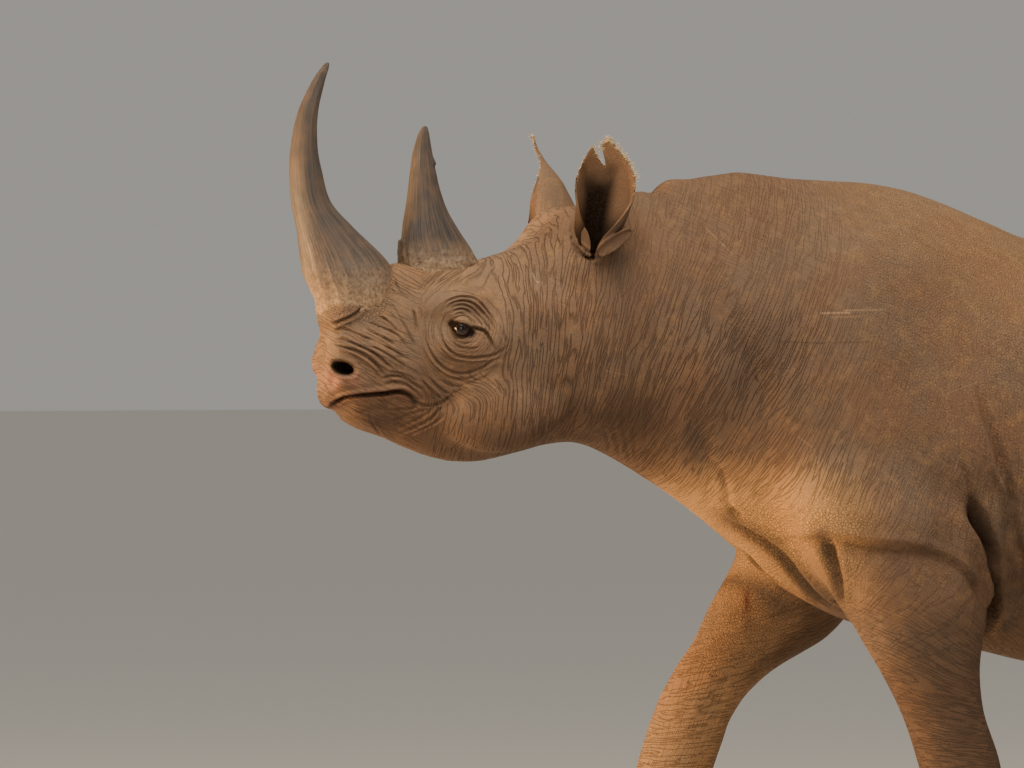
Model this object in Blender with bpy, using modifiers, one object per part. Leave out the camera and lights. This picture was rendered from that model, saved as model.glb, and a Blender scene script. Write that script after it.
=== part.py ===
"""A black rhinoceros, life size, caught in mid-stride: head, horns, ears, neck, trunk, legs and tail.

The animal faces -X, its left side is -Y and +Z is up. Sizes are in metres. The shapes are drawn from
the point on the ground under the withers. An empty then brings the middle of the box to the origin.
"""

import math

import bmesh
import bpy
from mathutils import Matrix, Vector

# ---------------------------------------------------------------- driving dimensions
GAP = 0.0003  # clearance between solids that touch
VOXEL = 0.008  # grain of the fused body before it is thinned out
HEAD_SMOOTHING = 6  # rounds of smoothing that the whole body gets
BODY_SMOOTHING = 40  # further rounds behind the head, where muscles and limbs run together
BODY_RATIO = 0.0128  # share of the fused triangles that the body keeps
HEAD_END = -0.45  # behind this x the further smoothing sets in
NECK_START = -0.25  # and from here on it is complete
HEAD_FROM = -0.30  # in front of this x the head keeps more of its triangles
HEAD_WEIGHT = 0.5  # weight of the head in the thinning, where the rest has 1
SPARING = 0.12  # how strongly the thinning heeds that weight
RING_SIDES = 48  # points round a body section
BODY_STEPS = 4  # rings for each row of the body's table
SQUARENESS = 2.25  # exponent of a body section; 2 is an ellipse
LIMB_SIDES = 28
LIMB_STEPS = 3  # rings for each row of a limb's table
MASS_SIDES = (32, 20)  # segments round and along a mass under the skin
WELD = 0.0001
LEFT = -1.0
RIGHT = 1.0

# Body sections from lips to rump:
# (x, top, bottom, half width, level of the widest part, narrowing of the top, narrowing of the bottom)
BODY_SECTIONS = (
    (-0.914, 1.190, 1.092, 0.040, 1.135, 0.10, 0.20),
    (-0.893, 1.238, 1.072, 0.064, 1.140, 0.20, 0.30),
    (-0.862, 1.262, 1.046, 0.080, 1.150, 0.25, 0.30),
    (-0.820, 1.285, 1.017, 0.088, 1.160, 0.30, 0.30),
    (-0.760, 1.303, 0.991, 0.095, 1.175, 0.30, 0.30),
    (-0.700, 1.316, 0.967, 0.108, 1.190, 0.30, 0.35),
    (-0.640, 1.330, 0.956, 0.126, 1.190, 0.30, 0.40),
    (-0.580, 1.350, 0.960, 0.144, 1.180, 0.30, 0.40),
    (-0.520, 1.379, 0.976, 0.155, 1.185, 0.30, 0.35),
    (-0.460, 1.429, 0.990, 0.158, 1.195, 0.35, 0.30),
    (-0.400, 1.446, 0.991, 0.158, 1.205, 0.40, 0.30),
    (-0.330, 1.464, 0.960, 0.178, 1.205, 0.50, 0.30),
    (-0.240, 1.488, 0.905, 0.206, 1.180, 0.55, 0.30),
    (-0.140, 1.504, 0.836, 0.240, 1.140, 0.55, 0.30),
    (-0.040, 1.513, 0.752, 0.270, 1.090, 0.55, 0.30),
    (0.080, 1.501, 0.672, 0.297, 1.040, 0.55, 0.25),
    (0.220, 1.488, 0.622, 0.318, 1.010, 0.50, 0.20),
    (0.360, 1.448, 0.600, 0.344, 0.990, 0.45, 0.15),
    (0.500, 1.392, 0.566, 0.372, 0.965, 0.40, 0.10),
    (0.700, 1.358, 0.528, 0.398, 0.935, 0.35, 0.08),
    (0.920, 1.356, 0.506, 0.408, 0.920, 0.30, 0.05),
    (1.120, 1.388, 0.533, 0.402, 0.940, 0.35, 0.08),
    (1.300, 1.430, 0.610, 0.385, 1.000, 0.40, 0.15),
    (1.450, 1.446, 0.690, 0.350, 1.050, 0.40, 0.20),
    (1.600, 1.410, 0.780, 0.305, 1.080, 0.40, 0.20),
    (1.740, 1.322, 0.870, 0.235, 1.090, 0.35, 0.20),
    (1.840, 1.215, 0.945, 0.150, 1.080, 0.30, 0.20),
    (1.885, 1.130, 1.000, 0.070, 1.060, 0.20, 0.20),
)

# Muscles, bones and pads under the skin: (x, y, z, half length, half width, half height, nose-down tilt
# in degrees, outward turn in degrees). One off the middle plane has a twin on the other side.
MASSES = (
    (-0.860, 0.000, 1.242, 0.062, 0.066, 0.050, 35, 0),  # pad under the front horn
    (-0.874, 0.044, 1.148, 0.044, 0.038, 0.050, 0, -20),  # wing of the nostril
    (-0.893, 0.000, 1.096, 0.032, 0.042, 0.034, 0, 0),  # grasping tip of the upper lip
    (-0.830, 0.046, 1.104, 0.080, 0.036, 0.034, -8, 6),  # side of the upper lip
    (-0.826, 0.000, 1.048, 0.056, 0.062, 0.030, -20, 0),  # chin
    (-0.680, 0.000, 1.296, 0.100, 0.070, 0.038, 6, 0),  # pad under the rear horn
    (-0.672, 0.084, 1.256, 0.090, 0.032, 0.038, 6, 14),  # brow
    (-0.610, 0.112, 1.190, 0.120, 0.032, 0.050, 8, 10),  # cheekbone
    (-0.572, 0.080, 1.088, 0.135, 0.058, 0.112, 18, 6),  # jaw muscle
    (-0.430, 0.056, 1.382, 0.095, 0.084, 0.060, 15, 0),  # crest of the skull
    (-0.430, 0.096, 1.316, 0.080, 0.050, 0.068, 0, 0),  # root of the ear
    (-0.300, 0.080, 1.200, 0.230, 0.106, 0.195, 20, 8),  # side of the neck
    (0.120, 0.178, 1.120, 0.230, 0.115, 0.320, -14, 0),  # shoulder blade
    (0.150, 0.198, 0.850, 0.175, 0.110, 0.200, 10, 0),  # upper arm
    (1.400, 0.200, 1.000, 0.290, 0.150, 0.350, 0, 0),  # haunch
)

# Limbs from the top down: (height, x, distance out from the middle plane, half depth, half width)
FRONT_LEG_TRAILING = (
    (0.980, 0.080, 0.200, 0.150, 0.100),
    (0.860, 0.110, 0.235, 0.170, 0.105),
    (0.760, 0.155, 0.262, 0.165, 0.105),
    (0.680, 0.183, 0.270, 0.148, 0.102),
    (0.600, 0.200, 0.268, 0.115, 0.094),
    (0.530, 0.221, 0.264, 0.091, 0.085),
    (0.460, 0.248, 0.260, 0.081, 0.079),
    (0.400, 0.268, 0.258, 0.083, 0.080),
    (0.320, 0.292, 0.257, 0.078, 0.076),
    (0.220, 0.318, 0.258, 0.077, 0.077),
    (0.130, 0.336, 0.261, 0.093, 0.092),
    (0.060, 0.344, 0.264, 0.118, 0.115),
    (0.015, 0.346, 0.265, 0.124, 0.120),
    (-0.030, 0.346, 0.265, 0.118, 0.114),
)
FRONT_LEG_REACHING = (
    (0.980, 0.160, 0.195, 0.120, 0.100),
    (0.860, 0.170, 0.225, 0.130, 0.105),
    (0.760, 0.146, 0.245, 0.146, 0.105),
    (0.680, 0.104, 0.252, 0.154, 0.102),
    (0.610, 0.060, 0.250, 0.142, 0.095),
    (0.550, -0.018, 0.246, 0.108, 0.087),
    (0.490, -0.073, 0.242, 0.089, 0.081),
    (0.440, -0.098, 0.240, 0.079, 0.079),
    (0.390, -0.116, 0.238, 0.082, 0.080),
    (0.310, -0.142, 0.238, 0.077, 0.076),
    (0.220, -0.170, 0.240, 0.077, 0.077),
    (0.130, -0.194, 0.243, 0.093, 0.092),
    (0.060, -0.206, 0.246, 0.118, 0.115),
    (0.015, -0.210, 0.247, 0.124, 0.120),
    (-0.030, -0.210, 0.247, 0.118, 0.114),
)
HIND_LEG_REACHING = (
    (1.050, 1.420, 0.190, 0.250, 0.120),
    (0.900, 1.375, 0.235, 0.245, 0.130),
    (0.780, 1.330, 0.258, 0.230, 0.128),
    (0.670, 1.312, 0.262, 0.196, 0.118),
    (0.570, 1.340, 0.260, 0.148, 0.100),
    (0.480, 1.388, 0.256, 0.114, 0.086),
    (0.410, 1.412, 0.253, 0.101, 0.081),
    (0.320, 1.397, 0.252, 0.084, 0.076),
    (0.220, 1.378, 0.252, 0.080, 0.076),
    (0.130, 1.362, 0.254, 0.087, 0.084),
    (0.060, 1.352, 0.257, 0.111, 0.107),
    (0.015, 1.348, 0.258, 0.117, 0.112),
    (-0.030, 1.348, 0.258, 0.111, 0.106),
)
HIND_LEG_TRAILING = (
    (1.050, 1.460, 0.190, 0.250, 0.120),
    (0.900, 1.462, 0.235, 0.240, 0.130),
    (0.780, 1.466, 0.258, 0.224, 0.128),
    (0.670, 1.492, 0.262, 0.188, 0.118),
    (0.570, 1.554, 0.260, 0.146, 0.100),
    (0.480, 1.626, 0.256, 0.116, 0.086),
    (0.410, 1.664, 0.253, 0.102, 0.081),
    (0.320, 1.674, 0.252, 0.084, 0.076),
    (0.220, 1.676, 0.252, 0.080, 0.076),
    (0.130, 1.674, 0.254, 0.087, 0.084),
    (0.060, 1.670, 0.257, 0.111, 0.107),
    (0.015, 1.668, 0.258, 0.117, 0.112),
    (-0.030, 1.668, 0.258, 0.111, 0.106),
)
# The tail in the same form; it hangs on the middle plane.
TAIL = (
    (1.230, 1.770, 0.0, 0.080, 0.070),
    (1.180, 1.830, 0.0, 0.062, 0.055),
    (1.100, 1.885, 0.0, 0.043, 0.040),
    (1.000, 1.915, 0.0, 0.033, 0.031),
    (0.900, 1.926, 0.0, 0.027, 0.025),
    (0.800, 1.930, 0.0, 0.023, 0.021),
    (0.720, 1.932, 0.0, 0.020, 0.018),
    (0.690, 1.932, 0.0, 0.012, 0.010),
)
# The bristles at the end of the tail, as one flat tuft.
TAIL_TUFT = (
    (0.780, 1.931, 0.0, 0.026, 0.012),
    (0.720, 1.932, 0.0, 0.044, 0.018),
    (0.650, 1.933, 0.0, 0.046, 0.016),
    (0.580, 1.934, 0.0, 0.034, 0.011),
    (0.520, 1.935, 0.0, 0.014, 0.005),
)

# Horns from the root up, in the same form.
FRONT_HORN = (
    (1.225, -0.838, 0.0, 0.066, 0.052),
    (1.275, -0.842, 0.0, 0.080, 0.062),
    (1.311, -0.853, 0.0, 0.088, 0.062),
    (1.345, -0.867, 0.0, 0.081, 0.055),
    (1.398, -0.899, 0.0, 0.056, 0.042),
    (1.447, -0.927, 0.0, 0.038, 0.034),
    (1.504, -0.938, 0.0, 0.031, 0.029),
    (1.553, -0.941, 0.0, 0.025, 0.024),
    (1.615, -0.934, 0.0, 0.019, 0.019),
    (1.670, -0.915, 0.0, 0.013, 0.013),
    (1.700, -0.901, 0.0, 0.007, 0.007),
    (1.712, -0.894, 0.0, 0.002, 0.002),
)
REAR_HORN = (
    (1.290, -0.676, 0.0, 0.078, 0.044),
    (1.335, -0.678, 0.0, 0.078, 0.045),
    (1.362, -0.686, 0.0, 0.070, 0.041),
    (1.389, -0.694, 0.0, 0.060, 0.037),
    (1.427, -0.701, 0.0, 0.043, 0.031),
    (1.471, -0.706, 0.0, 0.031, 0.025),
    (1.504, -0.708, 0.0, 0.025, 0.021),
    (1.538, -0.709, 0.0, 0.019, 0.016),
    (1.575, -0.707, 0.0, 0.011, 0.009),
    (1.593, -0.704, 0.0, 0.003, 0.003),
)
HORN_SIDES = 12
TUFT_SIDES = 10

EYE_RADIUS = 0.0185
EYE_CENTRE = (-0.668, 0.113, 1.212)
EYE_SIDES = (12, 8)

# Hollows pressed into the fused body: (x, distance out, z, half length, half height, depth, tilt)
HOLLOWS = (
    (-0.668, 0.130, 1.212, 0.034, 0.020, 0.008, 0),  # eye socket
    (-0.889, 0.080, 1.139, 0.016, 0.011, 0.022, 12),  # nostril
    (-0.820, 0.085, 1.087, 0.050, 0.006, 0.007, -6),  # mouth
    (-0.480, 0.165, 1.160, 0.060, 0.070, 0.010, 0),  # hollow behind the cheek
    (-0.140, 0.240, 1.120, 0.050, 0.200, 0.016, 20),  # valley in front of the shoulder
    (0.340, 0.330, 0.850, 0.035, 0.240, 0.016, -8),  # valley behind the shoulder
)

HOLLOW_REACH = 2.5  # a hollow fades out within this many of its half lengths

# Ears. The cup is a leaf rolled about an axis that runs up from its root.
LEFT_EAR_ROOT = (-0.412, -0.122, 1.350)
RIGHT_EAR_ROOT = (-0.440, 0.122, 1.355)
EAR_AXIS = (0.010, 0.300, 0.950)
EAR_THICKNESS = 0.009
EAR_DEPTH = 0.66  # depth of the cup as a share of its width
# (height above the root, radius of the roll, half of the arc that the leaf covers in degrees)
EAR_ROLL = (
    (-0.040, 0.024, 165),
    (0.000, 0.028, 160),
    (0.040, 0.040, 138),
    (0.080, 0.052, 118),
    (0.120, 0.054, 104),
    (0.160, 0.044, 96),
    (0.220, 0.016, 84),
)
# Upper edge of the leaf: (place across it, -1 at its front rim and 1 at its rear rim; height)
LEFT_EAR_EDGE = (
    (-1.00, 0.122),
    (-0.66, 0.162),
    (-0.36, 0.188),
    (-0.14, 0.156),
    (0.00, 0.222),
    (0.20, 0.208),
    (0.45, 0.180),
    (0.75, 0.150),
    (1.00, 0.104),
)
RIGHT_EAR_EDGE = (
    (-1.00, 0.110),
    (-0.60, 0.148),
    (-0.28, 0.166),
    (-0.14, 0.212),
    (0.12, 0.222),
    (0.22, 0.180),
    (0.60, 0.146),
    (1.00, 0.104),
)
EAR_COLUMNS = 15
EAR_ROWS = 7
LEFT_EAR_FACES = (-0.34, -0.94)
RIGHT_EAR_FACES = (-0.80, 0.60)

NAIL_ANGLES = (-52, 0, 52)  # the three toes of a foot, in degrees from straight ahead
NAIL_SIZE = (0.016, 0.034, 0.044)  # half thickness, half width and half height of a toenail
NAIL_SIDES = (8, 5)
NAIL_LEVEL = 0.032  # height of a nail's middle
NAIL_LEAN = 12  # degrees that its top leans back
NAIL_CLEARANCE = 0.004  # the nails end this far above the ground

# Where the body is parted: (name, middle of the cutting block, its size, its tilt about Y in degrees)
HEAD_BLOCK = ("head", (-0.870, 0.0, 1.300), (1.000, 1.2, 1.400), 14)
NECK_BLOCK = ("neck", (-0.566, 0.0, 1.300), (1.000, 1.2, 1.000), 15)
TAIL_BLOCK = ("tail", (2.060, 0.0, 0.850), (0.400, 0.30, 0.700), 0)
LEG_BLOCKS = (
    ("leg_front_left", (0.170, -0.370, 0.345), (0.660, 0.560, 0.830), -6),
    ("leg_front_right", (0.000, 0.370, 0.345), (0.700, 0.560, 0.830), 8),
    ("leg_hind_left", (1.420, -0.360, 0.330), (0.640, 0.600, 0.900), 6),
    ("leg_hind_right", (1.560, 0.360, 0.330), (0.640, 0.600, 0.900), 2),
)

COLLECTION = "black_rhinoceros"


# ---------------------------------------------------------------- collections and materials
for old in list(bpy.data.objects):
    bpy.data.objects.remove(old, do_unlink=True)

parts = bpy.data.collections.new(COLLECTION)
cutters = bpy.data.collections.new("cutters")
bpy.context.scene.collection.children.link(parts)
bpy.context.scene.collection.children.link(cutters)


def material(name, colour, roughness):
    """A plain Principled material."""
    made = bpy.data.materials.new(name)
    made.use_nodes = True
    shader = made.node_tree.nodes["Principled BSDF"]
    shader.inputs["Base Color"].default_value = (*colour, 1.0)
    shader.inputs["Roughness"].default_value = roughness
    shader.inputs["Metallic"].default_value = 0.0
    return made


hide = material("hide", (0.27, 0.16, 0.10), 0.85)
horn_keratin = material("horn_keratin", (0.12, 0.09, 0.07), 0.55)
nail_keratin = material("nail_keratin", (0.07, 0.055, 0.045), 0.5)
eye_surface = material("eye_surface", (0.015, 0.010, 0.008), 0.08)
bristle = material("bristle", (0.02, 0.016, 0.014), 0.7)


# ---------------------------------------------------------------- meshes and cuts
def new_object(name, mesh, surface=None, home=None):
    """Links a mesh under a name, in the collection of parts unless another is given."""
    made = bpy.data.objects.new(name, mesh)
    (home or parts).objects.link(made)
    if surface:
        mesh.materials.clear()
        mesh.materials.append(surface)
    return made


def mesh_from(bm, name):
    """A mesh from a bmesh, with its faces pointing out."""
    bmesh.ops.recalc_face_normals(bm, faces=bm.faces)
    mesh = bpy.data.meshes.new(name)
    bm.to_mesh(mesh)
    bm.free()
    return mesh


def as_cutter(made):
    """Marks an object as a guide that isn't part of the animal."""
    made.hide_render = True
    made.display_type = "WIRE"
    return made


def bake(made):
    """Replaces an object's mesh with the one that its modifiers give."""
    bpy.context.view_layer.update()
    seen = made.evaluated_get(bpy.context.evaluated_depsgraph_get())
    mesh = bpy.data.meshes.new_from_object(seen)
    made.modifiers.clear()
    old = made.data
    made.data = mesh
    bpy.data.meshes.remove(old)


def boolean(made, operation, tool):
    """Cuts an object with another one, which is kept."""
    cut = made.modifiers.new(operation.lower(), "BOOLEAN")
    cut.operation = operation
    cut.object = tool
    cut.solver = "EXACT"
    bake(made)


def grown(made, distance, name):
    """A copy of an object whose surface stands out by a distance."""
    mesh = made.data.copy()
    normals = [vertex.normal.copy() for vertex in mesh.vertices]
    for vertex, normal in zip(mesh.vertices, normals):
        vertex.co += normal * distance
    return as_cutter(new_object(name, mesh, home=cutters))


def block(name, centre, size, tilt, margin):
    """A box turned about Y, larger by a margin on every side."""
    bm = bmesh.new()
    bmesh.ops.create_cube(bm, size=1.0)
    scale = Matrix.Diagonal((*[side + 2.0 * margin for side in size], 1.0))
    turn = Matrix.Rotation(math.radians(tilt), 4, "Y")
    bmesh.ops.transform(bm, matrix=Matrix.Translation(centre) @ turn @ scale, verts=bm.verts)
    return as_cutter(new_object(name, mesh_from(bm, name), home=cutters))


def part_off(whole, spec):
    """Moves what lies in a block from one solid to a new node, and leaves a gap between the two."""
    name, centre, size, tilt = spec
    piece = new_object(name, whole.data.copy(), hide)
    boolean(piece, "INTERSECT", block(name + "_block", centre, size, tilt, 0.0))
    boolean(whole, "DIFFERENCE", block(name + "_clear", centre, size, tilt, GAP))
    return piece


# ---------------------------------------------------------------- lofts and masses
def between(rows, where):
    """A row of a table at a place counted in rows, on a smooth curve through all of them."""
    last = len(rows) - 1
    index = min(int(where), last - 1)
    t = where - index
    p0 = rows[max(index - 1, 0)]
    p1 = rows[index]
    p2 = rows[index + 1]
    p3 = rows[min(index + 2, last)]
    found = []
    for a, b, c, d in zip(p0, p1, p2, p3):
        bend = (2 * a - 5 * b + 4 * c - d) * t * t + (3 * b - a - 3 * c + d) * t * t * t
        found.append(0.5 * (2 * b + (c - a) * t + bend))
    return found


def spread(rows, steps):
    """The rows of a table with smooth rows added between them."""
    count = (len(rows) - 1) * steps
    return [between(rows, i / steps) for i in range(count + 1)]


def lookup(rows, key):
    """Straight interpolation in a table whose first column is the key."""
    if key <= rows[0][0]:
        return rows[0][1:]
    for low, high in zip(rows, rows[1:]):
        if key <= high[0]:
            share = (key - low[0]) / (high[0] - low[0])
            return [a + (b - a) * share for a, b in zip(low[1:], high[1:])]
    return rows[-1][1:]


def add_loft(bm, rings):
    """Joins closed rings of points into one closed skin with flat ends."""
    loops = [[bm.verts.new(point) for point in ring] for ring in rings]
    sides = len(loops[0])
    for low, high in zip(loops, loops[1:]):
        for i in range(sides):
            j = (i + 1) % sides
            bm.faces.new((low[i], low[j], high[j], high[i]))
    bm.faces.new(loops[0])
    bm.faces.new(list(reversed(loops[-1])))


def signed_power(value, power):
    """A power that keeps the sign of its base."""
    return math.copysign(abs(value) ** power, value)


def body_ring(x, top, bottom, half_width, widest, ridge, keel):
    """One upright section of the body."""
    points = []
    for i in range(RING_SIDES):
        angle = 2.0 * math.pi * i / RING_SIDES
        across = signed_power(math.cos(angle), 2.0 / SQUARENESS)
        up = signed_power(math.sin(angle), 2.0 / SQUARENESS)
        reach = top - widest if up > 0.0 else widest - bottom
        narrow = ridge if up > 0.0 else keel
        y = half_width * across * (1.0 - narrow * up * up)
        points.append(Vector((x, y, widest + reach * up)))
    return points


def level_ring(row, side, sides):
    """One level section of a limb, horn or tail."""
    height, x, out, half_depth, half_width = row
    points = []
    for i in range(sides):
        angle = 2.0 * math.pi * i / sides
        offset = Vector((half_depth * math.cos(angle), half_width * math.sin(angle), 0.0))
        points.append(Vector((x, side * out, height)) + offset)
    return points


def add_mass(bm, centre, radii, tilt, turn):
    """An egg-shaped mass, tilted about Y and turned about Z."""
    place = Matrix.Translation(centre)
    place = place @ Matrix.Rotation(math.radians(turn), 4, "Z")
    place = place @ Matrix.Rotation(math.radians(-tilt), 4, "Y")
    place = place @ Matrix.Diagonal((*radii, 1.0))
    round_it, along_it = MASS_SIDES
    bmesh.ops.create_uvsphere(bm, u_segments=round_it, v_segments=along_it, radius=1.0, matrix=place)


def fused_body():
    """Head, neck, trunk, limbs and tail as one smooth closed surface."""
    bm = bmesh.new()
    add_loft(bm, [body_ring(*row) for row in spread(BODY_SECTIONS, BODY_STEPS)])
    for x, out, z, length, width, height, tilt, turn in MASSES:
        for side in (LEFT, RIGHT) if out else (RIGHT,):
            add_mass(bm, (x, side * out, z), (length, width, height), tilt, side * turn)
    limbs = (
        (FRONT_LEG_TRAILING, LEFT),
        (FRONT_LEG_REACHING, RIGHT),
        (HIND_LEG_REACHING, LEFT),
        (HIND_LEG_TRAILING, RIGHT),
        (TAIL, RIGHT),
    )
    for rows, side in limbs:
        add_loft(bm, [level_ring(row, side, LIMB_SIDES) for row in spread(rows, LIMB_STEPS)])
    body = new_object("trunk", mesh_from(bm, "trunk"), hide)
    fuse = body.modifiers.new("fuse", "REMESH")
    fuse.mode = "VOXEL"
    fuse.voxel_size = VOXEL
    bake(body)
    group = body.vertex_groups.new(name="behind_head")
    for vertex in body.data.vertices:
        share = (vertex.co.x - HEAD_END) / (NECK_START - HEAD_END)
        group.add([vertex.index], min(1.0, max(0.0, share)), "REPLACE")
    for rounds, region in ((HEAD_SMOOTHING, ""), (BODY_SMOOTHING, group.name)):
        soften = body.modifiers.new("soften", "SMOOTH")
        soften.factor = 0.5
        soften.iterations = rounds
        soften.vertex_group = region
    bake(body)
    body.vertex_groups.clear()
    return body


def press_hollows(body):
    """Presses the table's hollows into both sides of the body."""
    mesh = body.data
    normals = [vertex.normal.copy() for vertex in mesh.vertices]
    for x, out, z, half_length, half_height, depth, tilt in HOLLOWS:
        cosine = math.cos(math.radians(tilt))
        sine = math.sin(math.radians(tilt))
        reach = HOLLOW_REACH * max(half_length, half_height)
        for vertex, normal in zip(mesh.vertices, normals):
            dx = vertex.co.x - x
            dz = vertex.co.z - z
            if abs(dx) > reach or abs(dz) > reach or abs(abs(vertex.co.y) - out) > 2.0 * reach:
                continue
            along = (dx * cosine + dz * sine) / half_length
            across = (dz * cosine - dx * sine) / half_height
            facing = max(0.0, math.copysign(normal.y, normal.y * vertex.co.y))
            vertex.co -= normal * depth * facing * math.exp(-along * along - across * across)


def thin_out(body):
    """Thins the body's triangles, and spares those of the head."""
    group = body.vertex_groups.new(name="thin")
    for vertex in body.data.vertices:
        weight = HEAD_WEIGHT if vertex.co.x < HEAD_FROM else 1.0
        group.add([vertex.index], weight, "REPLACE")
    thin = body.modifiers.new("thin", "DECIMATE")
    thin.ratio = BODY_RATIO
    thin.vertex_group = group.name
    thin.vertex_group_factor = SPARING
    bake(body)
    body.vertex_groups.clear()


def cut_level(bm, height):
    """Takes away what lies below a height and closes the cut with flat faces."""
    everything = list(bm.verts) + list(bm.edges) + list(bm.faces)
    cut = bmesh.ops.bisect_plane(
        bm, geom=everything, dist=WELD, plane_co=(0, 0, height), plane_no=(0, 0, 1), clear_inner=True
    )
    rim = [item for item in cut["geom_cut"] if isinstance(item, bmesh.types.BMEdge)]
    bmesh.ops.holes_fill(bm, edges=rim, sides=0)


def stand_flat(body):
    """Gives the feet flat soles at the ground."""
    bm = bmesh.new()
    bm.from_mesh(body.data)
    cut_level(bm, 0.0)
    bmesh.ops.triangulate(bm, faces=bm.faces)
    bm.to_mesh(body.data)
    bm.free()


# ---------------------------------------------------------------- the pieces
def make_horn(name, rows, clear_of):
    """A horn from its sections, cut off where it meets the skin."""
    bm = bmesh.new()
    add_loft(bm, [level_ring(row, RIGHT, HORN_SIDES) for row in rows])
    horn = new_object(name, mesh_from(bm, name), horn_keratin)
    boolean(horn, "DIFFERENCE", clear_of)
    return horn


def make_ear(name, side, root, faces, edge, clear_of):
    """An ear: a rolled leaf given thickness, cut off where it meets the skin."""
    axis = Vector((EAR_AXIS[0], side * EAR_AXIS[1], EAR_AXIS[2])).normalized()
    mouth = Vector((faces[0], faces[1], 0.0))
    mouth = (mouth - axis * mouth.dot(axis)).normalized()
    rear = axis.cross(mouth) * -side
    root = Vector(root)
    foot = EAR_ROLL[0][0]
    bm = bmesh.new()
    grid = []
    for column in range(EAR_COLUMNS):
        u = 2.0 * column / (EAR_COLUMNS - 1) - 1.0
        (top,) = lookup(edge, u)
        line = []
        for row in range(EAR_ROWS):
            height = foot + (top - foot) * row / (EAR_ROWS - 1)
            radius, arc = lookup(EAR_ROLL, height)
            angle = math.radians(arc) * u
            wall = rear * math.sin(angle) - mouth * EAR_DEPTH * math.cos(angle)
            line.append(bm.verts.new(root + axis * height + wall * radius))
        grid.append(line)
    for left, right in zip(grid, grid[1:]):
        for i in range(EAR_ROWS - 1):
            bm.faces.new((left[i], right[i], right[i + 1], left[i + 1]))
    ear = new_object(name, mesh_from(bm, name), hide)
    wall = ear.modifiers.new("wall", "SOLIDIFY")
    wall.thickness = EAR_THICKNESS
    wall.offset = 0.0
    boolean(ear, "DIFFERENCE", clear_of)
    return ear


def make_eye(name, side, body):
    """An eyeball set in a socket in the head."""
    centre = Vector((EYE_CENTRE[0], side * EYE_CENTRE[1], EYE_CENTRE[2]))
    for label, radius in ((name, EYE_RADIUS), (name + "_socket", EYE_RADIUS + GAP)):
        bm = bmesh.new()
        place = Matrix.Translation(centre) @ Matrix.Rotation(math.radians(90), 4, "X")
        bmesh.ops.create_uvsphere(
            bm, u_segments=EYE_SIDES[0], v_segments=EYE_SIDES[1], radius=radius, matrix=place
        )
        mesh = mesh_from(bm, label)
        if label == name:
            new_object(label, mesh, eye_surface)
        else:
            socket = as_cutter(new_object(label, mesh, home=cutters))
            boolean(body, "DIFFERENCE", socket)


def make_nails(name, foot, side, body):
    """Three toenails round the front of a foot, each in a bed cut for it."""
    _, foot_x, out, half_depth, half_width = foot
    thickness, width, height = NAIL_SIZE
    for number, angle in enumerate(NAIL_ANGLES, 1):
        turn = math.radians(angle)
        x = foot_x - half_depth * math.cos(turn)
        y = side * out + half_width * math.sin(turn)
        label = "{}_{}".format(name, number)
        for grow, title in ((0.0, label), (GAP, label + "_bed")):
            bm = bmesh.new()
            place = Matrix.Translation((x, y, NAIL_LEVEL))
            place = place @ Matrix.Rotation(-turn, 4, "Z")
            place = place @ Matrix.Rotation(math.radians(NAIL_LEAN), 4, "Y")
            place = place @ Matrix.Diagonal((thickness + grow, width + grow, height + grow, 1.0))
            bmesh.ops.create_uvsphere(
                bm, u_segments=NAIL_SIDES[0], v_segments=NAIL_SIDES[1], radius=1.0, matrix=place
            )
            cut_level(bm, NAIL_CLEARANCE - grow)
            mesh = mesh_from(bm, title)
            if title == label:
                new_object(title, mesh, nail_keratin)
            else:
                bed = as_cutter(new_object(title, mesh, home=cutters))
                boolean(body, "DIFFERENCE", bed)


def make_tuft(clear_of):
    """The bristles at the end of the tail."""
    bm = bmesh.new()
    add_loft(bm, [level_ring(row, RIGHT, TUFT_SIDES) for row in TAIL_TUFT])
    tuft = new_object("tail_tuft", mesh_from(bm, "tail_tuft"), bristle)
    boolean(tuft, "DIFFERENCE", clear_of)
    return tuft


# ---------------------------------------------------------------- assembly
body = fused_body()
press_hollows(body)
thin_out(body)
stand_flat(body)
skin_clear = grown(body, 1.5 * GAP, "skin_clear")

make_horn("horn_front", FRONT_HORN, skin_clear)
make_horn("horn_rear", REAR_HORN, skin_clear)
make_ear("ear_left", LEFT, LEFT_EAR_ROOT, LEFT_EAR_FACES, LEFT_EAR_EDGE, skin_clear)
make_ear("ear_right", RIGHT, RIGHT_EAR_ROOT, RIGHT_EAR_FACES, RIGHT_EAR_EDGE, skin_clear)
make_tuft(skin_clear)
make_eye("eye_left", LEFT, body)
make_eye("eye_right", RIGHT, body)

FEET = (
    ("nail_front_left", FRONT_LEG_TRAILING, LEFT),
    ("nail_front_right", FRONT_LEG_REACHING, RIGHT),
    ("nail_hind_left", HIND_LEG_REACHING, LEFT),
    ("nail_hind_right", HIND_LEG_TRAILING, RIGHT),
)
for title, rows, side in FEET:
    make_nails(title, rows[-3], side, body)

part_off(body, HEAD_BLOCK)
part_off(body, NECK_BLOCK)
part_off(body, TAIL_BLOCK)
for spec in LEG_BLOCKS:
    part_off(body, spec)

corners = [made.matrix_world @ Vector(corner) for made in parts.objects for corner in made.bound_box]
middle_x = 0.5 * (min(c.x for c in corners) + max(c.x for c in corners))
middle_y = 0.5 * (min(c.y for c in corners) + max(c.y for c in corners))
stand = bpy.data.objects.new("withers", None)
parts.objects.link(stand)
stand.location = (-middle_x, -middle_y, 0.0)
for made in parts.objects:
    if made is not stand:
        made.data.shade_flat()
        made.parent = stand
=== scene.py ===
import itertools
import math

import bmesh
import bpy
import numpy as np
from mathutils import Matrix, Vector
from mathutils.bvhtree import BVHTree


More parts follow.
